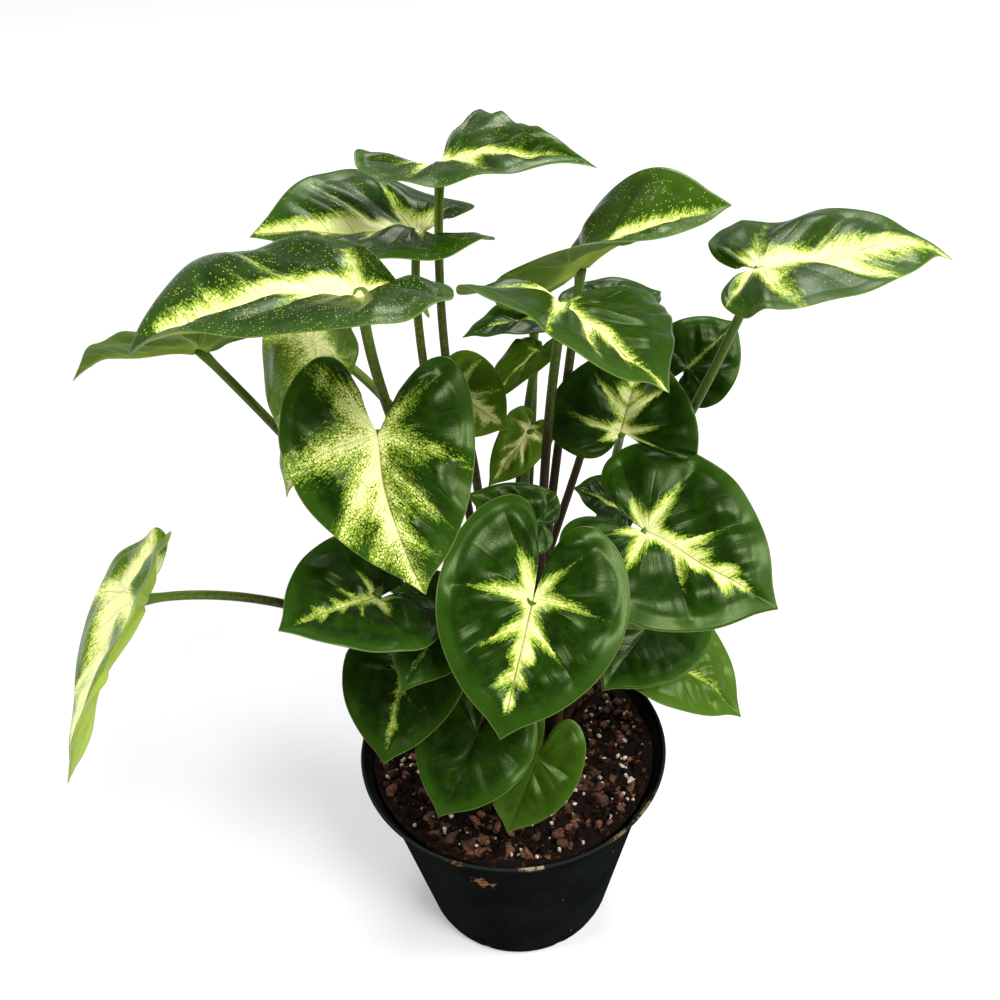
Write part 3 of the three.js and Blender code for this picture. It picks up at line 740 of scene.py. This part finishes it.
def make_object(name, points, faces, material):
    """A smooth mesh object from points in millimetres."""
    mesh = bpy.data.meshes.new(name)
    mesh.from_pydata((np.asarray(points) * MM).tolist(), [], faces)
    mesh.update()
    mesh.shade_smooth()
    mesh.materials.append(material)
    return add_object(name, mesh)


def give_attribute(piece, name, *channels):
    """Three values that the material reads by the name, each for every point or one for all."""
    channels = [np.broadcast_to(channel, len(piece.data.vertices)) for channel in channels]
    layer = piece.data.attributes.new(name, "FLOAT_VECTOR", "POINT")
    layer.data.foreach_set("vector", np.stack(channels, axis=1).astype(np.float32).ravel())


def settle(piece, node):
    """Sets the piece on the one body, in place of a solid."""
    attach(piece, "root")
    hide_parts(node)


def ease(value, low, high):
    """Eases from 0 to 1 as value goes from low to high."""
    share = np.clip((value - low) / (high - low), 0, 1)
    return share * share * (3 - 2 * share)


def unit(vectors):
    return vectors / np.linalg.norm(vectors, axis=-1, keepdims=True)


def even_turns(sides):
    return np.linspace(0, 2 * pi, sides, endpoint=False)


def circle(radius, height, sides):
    """Points of a level ring."""
    return [(radius * cos(turn), radius * sin(turn), height) for turn in even_turns(sides)]


def ring_faces(sides, rings):
    """Faces of a closed solid whose points are its lower middle, its upper middle, and then its
    rings from the lowest up."""
    faces = []
    top = 2 + (rings - 1) * sides
    for i in range(sides):
        j = (i + 1) % sides
        faces.append([0, 2 + j, 2 + i])
        for low in range(2, top, sides):
            faces.append([low + i, low + j, low + sides + j, low + sides + i])
        faces.append([1, top + i, top + j])
    return faces


def lathe(profile, sides):
    """Points and faces of a turned solid, from (radius, height) pairs that start and end on the axis."""
    points = [(0, 0, profile[0][1]), (0, 0, profile[-1][1])]
    for radius, height in profile[1:-1]:
        points += circle(radius, height, sides)
    return points, ring_faces(sides, len(profile) - 2)


def sweep_tube(centres, radii, sides):
    """Points and faces of a closed tube, without a twist, along a line of centres."""
    tangents = unit(np.gradient(centres, axis=0))
    across = unit(np.cross(tangents[0], [0.3, 1.0, 0.2]))
    turns = even_turns(sides)
    points = [centres[0], centres[-1]]
    for centre, tangent, radius in zip(centres, tangents, radii):
        across = unit(across - tangent * (across @ tangent))
        other = np.cross(tangent, across)
        for turn in turns:
            points.append(centre + radius * (cos(turn) * across + sin(turn) * other))
    return points, ring_faces(sides, len(centres))


def margin_radius(angle):
    """Distance from the joint to the flat blade's margin, by a smooth curve through MARGIN."""
    knots, radii = np.array(MARGIN, float).T
    order = np.arange(len(knots))
    before = np.maximum(order - 1, 0)
    after = np.minimum(order + 1, len(knots) - 1)
    slope = (radii[after] - radii[before]) / (knots[after] - knots[before])
    a = np.minimum(np.abs(angle), MARGIN_END)
    k = np.clip(np.searchsorted(knots, a, side="right") - 1, 0, len(knots) - 2)
    h = knots[k + 1] - knots[k]
    t = (a - knots[k]) / h
    return (
        (2 * t**3 - 3 * t**2 + 1) * radii[k] + (t**3 - 2 * t**2 + t) * h * slope[k]
        + (3 * t**2 - 2 * t**3) * radii[k + 1] + (t**3 - t**2) * h * slope[k + 1]
    )


def blade_point(leaf, angle, ring):
    """Points of the blade's middle surface, for a midrib 1 long."""
    angle, ring = np.broadcast_arrays(np.asarray(angle, float), np.asarray(ring, float))
    half = np.where(angle >= 0, 0, 1)
    side = np.where(angle >= 0, 1.0, -1.0)
    taper, lobe, sinus, fold, curl, lift = [
        np.array(getattr(leaf, key), float)[half]
        for key in ("taper", "lobe", "sinus", "fold", "curl", "lift")
    ]
    turn = np.radians(angle * (180 - sinus) / MARGIN_END)
    reach = ring * margin_radius(angle)
    along = reach * np.cos(turn)
    narrowing = 1 - taper * (along - TAPER_MIDDLE)
    across = np.abs(reach * np.sin(turn)) * leaf.width * narrowing
    x = np.where(along < 0, along * lobe, along)

    start = np.radians(fold)
    bend = np.radians(curl)
    bend = np.where(bend == 0, LEAST_BEND, bend)
    end = start + bend * across / HALF_WIDTH
    y = HALF_WIDTH / bend * (np.sin(end) - np.sin(start)) * side + leaf.sweep * x * x
    z = HALF_WIDTH / bend * (np.cos(start) - np.cos(end))
    z = z + leaf.wave * ring**2 * np.sin(np.radians(angle * WAVES))
    z = z - leaf.hook * np.maximum(x - HOOK_START, 0) ** 2

    twist = radians(leaf.twist) * x
    y, z = y * np.cos(twist) - z * np.sin(twist), y * np.sin(twist) + z * np.cos(twist)

    curve = np.where(x >= 0, -radians(leaf.droop), np.radians(lift))
    curve = np.where(curve == 0, LEAST_BEND, curve)
    slope = curve * x
    return np.stack([
        np.sin(slope) / curve - np.sin(slope) * z,
        y,
        (1 - np.cos(slope)) / curve + np.cos(slope) * z,
    ], axis=-1)


def blade_placement(leaf):
    """The turn, as a matrix, and the scale that put the blade's midrib from joint to tip."""
    chord = blade_point(leaf, 0, 1)
    reach = leaf.tip - leaf.joint

    def basis(along, upward):
        x = unit(along)
        z = unit(upward - x * (upward @ x))
        return np.stack([x, np.cross(z, x), z], axis=1)

    local = basis(chord, UP)
    world = basis(reach, leaf.faces)
    return world @ local.T, np.linalg.norm(reach) / np.linalg.norm(chord)


def lateral_offset(across):
    """How far towards the tip a lateral vein has run, at a distance from the midrib."""
    return across / tan(LATERAL_ANGLE) + LATERAL_BOW * across**2


def vein_place(u, v):
    """The place of the lateral vein through a point of the flat blade."""
    across = np.abs(v)
    steps = np.linspace(0, 1.2, 240)[1:]
    edge_reach = np.hypot(steps, lateral_offset(steps))
    edge_angle = np.arctan2(steps, lateral_offset(steps))
    from_joint = np.hypot(u, across)
    front = u - lateral_offset(across)
    back = -(np.arctan2(across, u) - np.interp(from_joint, edge_reach, edge_angle)) / FAN_ANGLE
    return np.where(front >= 0, front, back)


def vein_field(u, v, knots):
    """For each point: its place counted in lateral veins, and the width of one count there."""
    across = np.abs(v)
    place = vein_place(u, v)
    count = np.interp(place, knots, np.arange(len(knots)))
    steepness = 1 / tan(LATERAL_ANGLE) + 2 * LATERAL_BOW * across
    front = 1 / np.sqrt(1 + steepness**2)
    back = np.hypot(u, across) * FAN_ANGLE
    blend = ease(place, -0.12, 0.12)
    pitch = np.interp(place, (knots[1:] + knots[:-1]) / 2, np.diff(knots))
    return count, pitch * (front * blend + back * (1 - blend))


def light_field(leaf, u, v, count, spacing, draw):
    """How far each point lies inside the light star, as a share of the midrib."""
    across = np.abs(v)
    from_joint = np.hypot(u, across)
    share = np.clip(u / leaf.band_end, 0, 1)
    ahead = leaf.band * (1 - share) ** 0.6 - across - np.maximum(u - leaf.band_end, 0)
    field = np.where(u >= 0, ahead, leaf.band - from_joint)
    half = np.where(v >= 0, 0, 1)
    for k, reach in enumerate(ARM_REACH):
        reaches = reach * leaf.star * draw.uniform(*REACH_SPREAD, 2)
        widths = ARM_WIDTH * leaf.star * draw.uniform(*WIDTH_SPREAD, 2)
        if reach == 0 or leaf.star == 0:
            continue
        run = np.where(count >= FIRST_AHEAD, across, from_joint) / reaches[half]
        arm = widths[half] * (1 - np.where(run < 1, run**2, run)) - spacing * np.abs(count - k)
        field = np.maximum(field, np.maximum(arm, ARM_FLOOR))
    field = np.maximum(field, HEART_RADIUS * leaf.star - from_joint)
    return leaf.sharp * (field + np.array(leaf.fill)[half])


def relief_height(u, v, ring, count, spacing, length, draw):
    """Pillows between the sunken veins and inside the collective vein, in millimetres."""
    across = np.abs(v)
    nearest = np.round(count).astype(int)
    lateral = spacing * np.abs(count - nearest)
    pillow = 1 - np.array(VEIN_DEPTH)[nearest] * np.exp(-((lateral / VEIN_WIDTH) ** 1.6))
    pillow = pillow * (1 - np.exp(-((across / 0.06) ** 1.3)))
    inside = ease(ring, 1.02, 0.62)
    wander = 0.02 * np.sin(7 * u + 5 * v)
    collective = np.exp(-(((ring - COLLECTIVE_RING - wander) / 0.025) ** 2))
    heart = ease(np.hypot(u, across), 0.02, 0.2)
    groove = np.exp(-((across / 0.018) ** 2)) * ease(ring, 1.0, 0.8)
    pucker = np.zeros_like(u)
    for _ in range(PUCKERS):
        along, aside = draw.uniform(*PUCKER_WAVES, 2)
        first, second = draw.uniform(0, 2 * pi, 2)
        pucker += np.sin(along * u + first) * np.sin(aside * v + second)
    raised = PILLOW_HEIGHT * pillow * heart + PUCKER_HEIGHT * pucker
    return length * (raised * inside - COLLECTIVE_DEPTH * collective - GROOVE_DEPTH * groove)


def ripple_height(angle, u, ring, length, draw):
    """Gentle ripples of the margin, in millimetres."""
    ripple = sum(
        np.sin(np.radians(angle) * draw.integers(*RIPPLE_WAVES) + draw.uniform(0, 2 * pi))
        for _ in range(RIPPLES)
    )
    return RIPPLE_HEIGHT * length * ripple * ease(ring, 0.5, 1) * ease(u, 0.98, 0.8)


def blade_angles(columns):
    """Angles from the midrib, spaced evenly along the margin of both halves."""
    fine = np.linspace(0, MARGIN_END, 3000)
    radius = margin_radius(fine)
    turn = np.radians(fine)
    edge = np.stack([radius * np.cos(turn), radius * np.sin(turn)], axis=1)
    run = np.concatenate([[0], np.cumsum(np.linalg.norm(np.diff(edge, axis=0), axis=1))])
    half = np.interp(np.linspace(0, run[-1], columns), run, fine)
    return np.concatenate([-half[:0:-1], half])


def blade_faces(columns, rings):
    """Faces of the upper side, the lower side and the edge, over points laid out as
    joint above, joint below, grid above, grid below."""
    upper = 2 + np.arange(columns * rings).reshape(columns, rings)
    lower = upper + columns * rings
    faces = []
    for sheet, joint, flip in ((upper, 0, False), (lower, 1, True)):
        corners = [sheet[:-1, :-1], sheet[:-1, 1:], sheet[1:, 1:], sheet[1:, :-1]]
        quads = np.stack(corners, axis=-1).reshape(-1, 4).tolist()
        fans = [[joint, a, b] for a, b in zip(sheet[:-1, 0], sheet[1:, 0])]
        both = quads + fans
        faces += [face[::-1] for face in both] if flip else both
    above, below = [
        [joint, *sheet[0], *sheet[1:, -1], *sheet[-1, -2::-1], joint]
        for joint, sheet in enumerate((upper, lower))
    ]
    faces += [[a, c, d, b] for a, b, c, d in zip(above, above[1:], below, below[1:])]
    return faces


def make_blade(name, leaf, material, draw):
    """A thin blade with its relief, and the values that its material reads at every point."""
    turn, scale = blade_placement(leaf)
    joint = leaf.joint
    length = np.linalg.norm(leaf.tip - joint)
    half_columns, rings = LARGE_GRID if length >= LARGE_MIDRIB else SMALL_GRID
    angles = blade_angles(half_columns)
    shares = np.linspace(0, 1, rings + 1)[1:] ** 0.85
    angle, ring = np.meshgrid(angles, shares, indexing="ij")

    def middle(angle, ring):
        """The middle surface in its place on the plant."""
        return joint + scale * blade_point(leaf, np.clip(angle, -MARGIN_END, MARGIN_END), ring) @ turn.T

    outward = middle(angle, ring + 0.01) - middle(angle, ring - 0.01)
    round_about = middle(angle + 0.5, ring) - middle(angle - 0.5, ring)
    normal = unit(np.cross(outward, round_about))

    reach = ring * margin_radius(angle)
    u = reach * np.cos(np.radians(angle))
    v = reach * np.sin(np.radians(angle))
    knots = np.array(LATERALS) + draw.uniform(-VEIN_SHIFT, VEIN_SHIFT, len(LATERALS))
    count, spacing = vein_field(u, v, knots)
    light = light_field(leaf, u, v, count, spacing, draw)
    relief = leaf.relief * relief_height(u, v, ring, count, spacing, length, draw)
    relief = relief + ripple_height(angle, u, ring, length, draw)
    half_thick = (EDGE_THICKNESS + (BLADE_THICKNESS - EDGE_THICKNESS) * ease(ring, 1, EDGE_RING)) / 2
    rib = RIB_DEPTH * np.exp(-((np.abs(v) / RIB_WIDTH) ** 2)) * ease(u, 0.95, 0) * ease(u, -0.04, 0)

    above = middle(angle, ring) + normal * (relief + half_thick)[..., None]
    below = middle(angle, ring) + normal * (relief - half_thick - rib)[..., None]
    up = turn @ UP
    hubs = np.stack([joint + up * BLADE_THICKNESS / 2, joint - up * BLADE_THICKNESS / 2])
    points = np.concatenate([hubs, above.reshape(-1, 3), below.reshape(-1, 3)])
    piece = make_object(name + "_blade", points, blade_faces(len(angles), rings), material)

    def both(values, hub):
        """A value for every point: the two at the joint, then the grid above and below."""
        return np.concatenate([[hub, hub], values.reshape(-1), values.reshape(-1)])

    under = np.concatenate([[0, 1], np.zeros(u.size), np.ones(u.size)])
    seed = draw.uniform(0, 900)
    hub_count = np.interp(0, knots, np.arange(len(knots)))
    give_attribute(piece, "pattern", both(light, leaf.band), both(count, hub_count), both(spacing, 0.02))
    give_attribute(piece, "zone", both(np.abs(v), 0), both(ring, 0), under)
    give_attribute(piece, "flat", both(u * length, 0), both(v * length * leaf.width, 0), seed)
    give_attribute(piece, "tone", leaf.tone, leaf.net, leaf.fleck)
    settle(piece, name)


def bezier(a, b, c, d, t):
    t = np.asarray(t)[:, None]
    return (1 - t) ** 3 * a + 3 * (1 - t) ** 2 * t * b + 3 * (1 - t) * t**2 * c + t**3 * d


def make_petiole(name, leaf, material, draw):
    """A stalk that rises out of the soil beside its shoot and arches to the blade's joint."""
    shoot_x, shoot_y = SHOOTS[leaf.shoot]["at"]
    side = radians(leaf.side)
    x = shoot_x + PETIOLE_STANDOFF * cos(side)
    y = shoot_y + PETIOLE_STANDOFF * sin(side)
    joint = leaf.joint
    ground = np.array([x, y, SOIL_LEVEL + PETIOLE_FOOT])
    span = np.linalg.norm(joint - ground)
    turn, _ = blade_placement(leaf)
    upper = turn @ UP
    arrival = unit(upper + UP * PETIOLE_LEAN)
    pull = np.array(leaf.pull, float) if leaf.pull else joint - arrival * span * PETIOLE_REACH
    rise = ground + UP * span * PETIOLE_RISE
    t = np.linspace(0, 1, PETIOLE_STEPS)
    centres = bezier(ground, rise, pull, joint - upper * BLADE_THICKNESS / 2, t)
    foot = ground - UP * PETIOLE_SUNK
    centres = np.concatenate([[foot, (foot + ground) / 2], centres])
    share = np.concatenate([[0, 0], t])
    slender = 1.0 if span > SHORT_SPAN else SHORT_SLENDER
    sheath = SHEATH_SWELL * ease(share, 0.3, 0.0)
    flare = JOINT_FLARE * ease(share, 0.95, 1.0)
    radii = slender * (PETIOLE_RADIUS - PETIOLE_TAPER * share + sheath + flare)
    points, faces = sweep_tube(centres, radii, PETIOLE_SIDES)
    piece = make_object(name + "_petiole", points, faces, material)
    run = np.concatenate([[0, 1], np.repeat(share, PETIOLE_SIDES)])
    turns = np.concatenate([[0, 0], np.tile(even_turns(PETIOLE_SIDES), len(centres))])
    give_attribute(piece, "stalk", run, np.cos(turns), draw.uniform(0, 900))
    settle(piece, name)


def pot_radius(height):
    """Outer radius of the pot: a cone up to the neck, and a wider one up to the rim."""
    if height > NECK_HEIGHT:
        share = (height - NECK_HEIGHT) / (POT_HEIGHT - NECK_HEIGHT)
        return NECK_RADIUS + (RIM_RADIUS - NECK_RADIUS) * share
    return BASE_RADIUS + (NECK_RADIUS - BASE_RADIUS) * height / NECK_HEIGHT


def soft_pot_radius(height):
    """The pot's radius with its neck rounded."""
    sides = pot_radius(height - NECK_BLUR) + 2 * pot_radius(height) + pot_radius(height + NECK_BLUR)
    return sides / 4


def drain_cutter(turn):
    """An upright cylinder at the edge of the pot's floor."""
    middle = DRAIN_TOP / 2 - DRAIN_BELOW / 2
    centre = Vector((DRAIN_RING * cos(turn), DRAIN_RING * sin(turn), middle)) * MM
    form = bmesh.new()
    bmesh.ops.create_cone(
        form, cap_ends=True, segments=DRAIN_SIDES, radius1=DRAIN_RADIUS * MM, radius2=DRAIN_RADIUS * MM,
        depth=(DRAIN_TOP + DRAIN_BELOW) * MM, matrix=Matrix.Translation(centre),
    )
    mesh = bpy.data.meshes.new("drain_cutter")
    form.to_mesh(mesh)
    form.free()
    return add_object("drain_cutter", mesh)


def apply_modifiers(piece):
    bpy.context.view_layer.update()
    depsgraph = bpy.context.evaluated_depsgraph_get()
    mesh = bpy.data.meshes.new_from_object(piece.evaluated_get(depsgraph))
    piece.modifiers.clear()
    piece.data = mesh


def make_pot(material):
    """A thin turned wall with a rounded lip, and drain notches cut at the edge of its floor."""
    lip = POT_WALL / 2
    inset = BASE_RADIUS - POT_WALL
    profile = [(0, 0)]
    profile += [(BASE_RADIUS - inside, z) for inside, z in POT_FOOT]
    profile += [(soft_pot_radius(z), z) for z in np.linspace(3, POT_HEIGHT - 3, 34)]
    profile += [
        (RIM_RADIUS - lip + lip * cos(a), POT_HEIGHT - lip + lip * sin(a))
        for a in np.linspace(-0.3, pi + 0.3, 9)
    ]
    profile += [(soft_pot_radius(z) - POT_WALL, z) for z in np.linspace(POT_HEIGHT - 3, 4, 30)]
    profile += [(inset - 1, POT_FLOOR + 0.3), (inset - 3, POT_FLOOR), (0, POT_FLOOR)]
    points, faces = lathe(profile, POT_SIDES)
    pot = make_object("nursery_pot", points, faces, material)
    for i in range(DRAIN_HOLES):
        cutter = drain_cutter((i + 0.5) * 2 * pi / DRAIN_HOLES)
        cut = pot.modifiers.new("drain", "BOOLEAN")
        cut.object = cutter
        cut.operation = "DIFFERENCE"
        apply_modifiers(pot)
        bpy.data.objects.remove(cutter)
    settle(pot, "pot")


def soil_height(x, y):
    """The soil's top: its crown, its bank at the wall and its bumps, with finer crumbs."""
    out = hypot(x, y) / RIM_RADIUS
    crown = SOIL_CROWN * (1 - out**2)
    coarse = sin(0.31 * x + 0.9) * cos(0.27 * y - 0.4)
    fine = sin(0.83 * x - 0.6 * y) * cos(0.71 * y + 0.5 * x)
    bumps = SOIL_RELIEF * (0.6 * coarse + 0.7 * fine)
    crumbs = SOIL_CRUMBS * noise.fractal(Vector((x * 0.45, y * 0.45, 3.1)), 0.7, 2.2, 5)
    bank = SOIL_BANK * max(0, out - BANK_START) / BANK_WIDTH
    return SOIL_LEVEL + SOIL_RISE + crown + bumps + crumbs + bank


def make_soil(material):
    """The bed of mix that fills the pot."""
    top_radius = pot_radius(SOIL_LEVEL + SOIL_BANK / 2) - POT_WALL - SEAT_GAP
    neck_radius = NECK_RADIUS - POT_WALL - SEAT_GAP
    bottom = POT_FLOOR + SEAT_GAP
    bottom_radius = pot_radius(bottom) - POT_WALL - SEAT_GAP - 1.5
    points = [(0, 0, soil_height(0, 0)), (0, 0, bottom)]
    for ring in range(1, SOIL_RINGS + 1):
        level = circle(top_radius * (ring / SOIL_RINGS), 0, SOIL_SIDES)
        points += [(x, y, soil_height(x, y)) for x, y, _ in level]
    points += circle(neck_radius, NECK_HEIGHT - 1.5, SOIL_SIDES)
    points += circle(bottom_radius, bottom, SOIL_SIDES)
    downwards = [[face[0], *face[:0:-1]] for face in ring_faces(SOIL_SIDES, SOIL_RINGS + 2)]
    piece = make_object("potting_mix", points, downwards, material)
    settle(piece, "soil")


def ball(detail):
    """Points and faces of a round ball of radius 1."""
    mesh = bmesh.new()
    bmesh.ops.create_icosphere(mesh, subdivisions=detail, radius=1)
    points = np.array([vertex.co[:] for vertex in mesh.verts])
    faces = [[vertex.index for vertex in face.verts] for face in mesh.faces]
    mesh.free()
    return points, faces


def scatter(name, material, draw, amount, sizes, flat, detail, jag):
    """Bits that lie half sunk in the soil's top, as one piece."""
    base, base_faces = ball(detail)
    limit = pot_radius(SOIL_LEVEL) - POT_WALL - 0.8
    points = []
    faces = []
    for _ in range(amount):
        size = draw.uniform(*sizes)
        reach = (limit - size) * draw.uniform(0, 1) ** 0.5
        turn = draw.uniform(0, 2 * pi)
        x = reach * cos(turn)
        y = reach * sin(turn)
        seed = Vector(draw.uniform(0, 50, 3))
        bumps = np.array([noise.noise(Vector(point) * 1.3 + seed) for point in base])
        shape = base * (1 + jag * bumps)[:, None]
        shape = shape * size * np.array([1, draw.uniform(0.55, 0.95), flat * draw.uniform(0.7, 1.2)])
        spin = Matrix.Rotation(draw.uniform(0, 2 * pi), 3, "Z")
        lean = Matrix.Rotation(draw.uniform(-0.5, 0.5), 3, "X")
        shape = shape @ np.array(spin @ lean).T
        centre = np.array([x, y, soil_height(x, y) + size * flat * (1 - 2 * BIT_SINK)])
        start = len(points)
        points += (shape + centre).tolist()
        faces += [[index + start for index in face] for face in base_faces]
    piece = make_object(name, points, faces, material)
    settle(piece, "soil")


def make_shoot(name, shoot, material):
    """A short stem with its joints, and a rolled young leaf on top."""
    neck = SHOOT_RADIUS - JOINT_SWELL
    top = SOIL_LEVEL + shoot["height"] - SPEAR_LENGTH
    profile = [(0, SOIL_LEVEL - SHOOT_SUNK), (neck, SOIL_LEVEL - SHOOT_SUNK), (neck, SOIL_LEVEL)]
    for height in range(SOIL_LEVEL + JOINT_SPACING, top, JOINT_SPACING):
        profile += [(neck + swell, height + rise) for swell, rise in JOINT_FORM]
    profile += [(neck * width, top + SPEAR_LENGTH * share) for width, share in SPEAR_FORM]
    points, faces = lathe(profile, SHOOT_SIDES)
    moved = np.array(points) + np.array([*shoot["at"], 0])
    piece = make_object(name + "_shoot", moved, faces, material)
    settle(piece, name)


def make_camera():
    forward = Vector((0, cos(CAMERA_PITCH), -sin(CAMERA_PITCH)))
    level = Vector((1, 0, 0))
    upright = level.cross(forward)
    right = level * cos(CAMERA_ROLL) - upright * sin(CAMERA_ROLL)
    up = right.cross(forward)
    data = bpy.data.cameras.new("camera")
    data.lens = CAMERA_LENS
    data.sensor_width = SENSOR
    camera = add_object("camera", data)
    turn = Matrix((right, up, -forward)).transposed().to_4x4()
    camera.matrix_world = Matrix.Translation(CAMERA_AT) @ turn
    bpy.context.scene.camera = camera


def make_stage():
    """The floor, and a round wall that only the camera sees."""
    corners = [(x * FLOOR_REACH, y * FLOOR_REACH, 0) for x, y in ((-1, -1), (1, -1), (1, 1), (-1, 1))]
    floor = make_object("studio_floor", corners, [[0, 1, 2, 3]], floor_material())
    points = circle(WALL_RADIUS, 0, WALL_SIDES) + circle(WALL_RADIUS, WALL_HEIGHT, WALL_SIDES)
    pairs = [(i, (i + 1) % WALL_SIDES) for i in range(WALL_SIDES)]
    faces = [[i, j, WALL_SIDES + j, WALL_SIDES + i] for i, j in pairs]
    wall = make_object("studio_wall", points, faces, wall_material())
    for rays in ("diffuse", "glossy", "transmission", "shadow"):
        setattr(wall, "visible_" + rays, False)


def make_lights():
    bpy.context.scene.world = sky()
    for name, (at, size, power) in SOFT_BOXES.items():
        data = bpy.data.lights.new(name, "AREA")
        data.size = size
        data.energy = power
        light = add_object(name, data)
        light.location = at
        light.rotation_euler = (LIGHT_AIM - Vector(at)).to_track_quat("-Z", "Y").to_euler()


def make_plant():
    """The shoots, and the leaves as a blade and a petiole each."""
    shoot_look = stem_material()
    blade_look = leaf_material()
    petiole_look = petiole_material()
    for name, shoot in SHOOTS.items():
        make_shoot(name, shoot, shoot_look)
    for order, (name, leaf) in enumerate(LEAVES.items()):
        draw = np.random.default_rng(100 + order)
        make_blade(name, leaf, blade_look, draw)
        make_petiole(name, leaf, petiole_look, draw)


def make_mix():
    """The soil, and the loose bits on it."""
    peat_look = peat_material()
    make_soil(peat_look)
    looks = {
        "peat_crumbs": peat_look, "bark_chips": bark_material(), "perlite_grains": perlite_material(),
    }
    draw = np.random.default_rng(7)
    for name, form in BITS.items():
        scatter(name, looks[name], draw, **form)


make_camera()
make_stage()
make_lights()
bpy.context.scene.view_settings.view_transform = "Standard"
make_pot(pot_material())
make_mix()
make_plant()
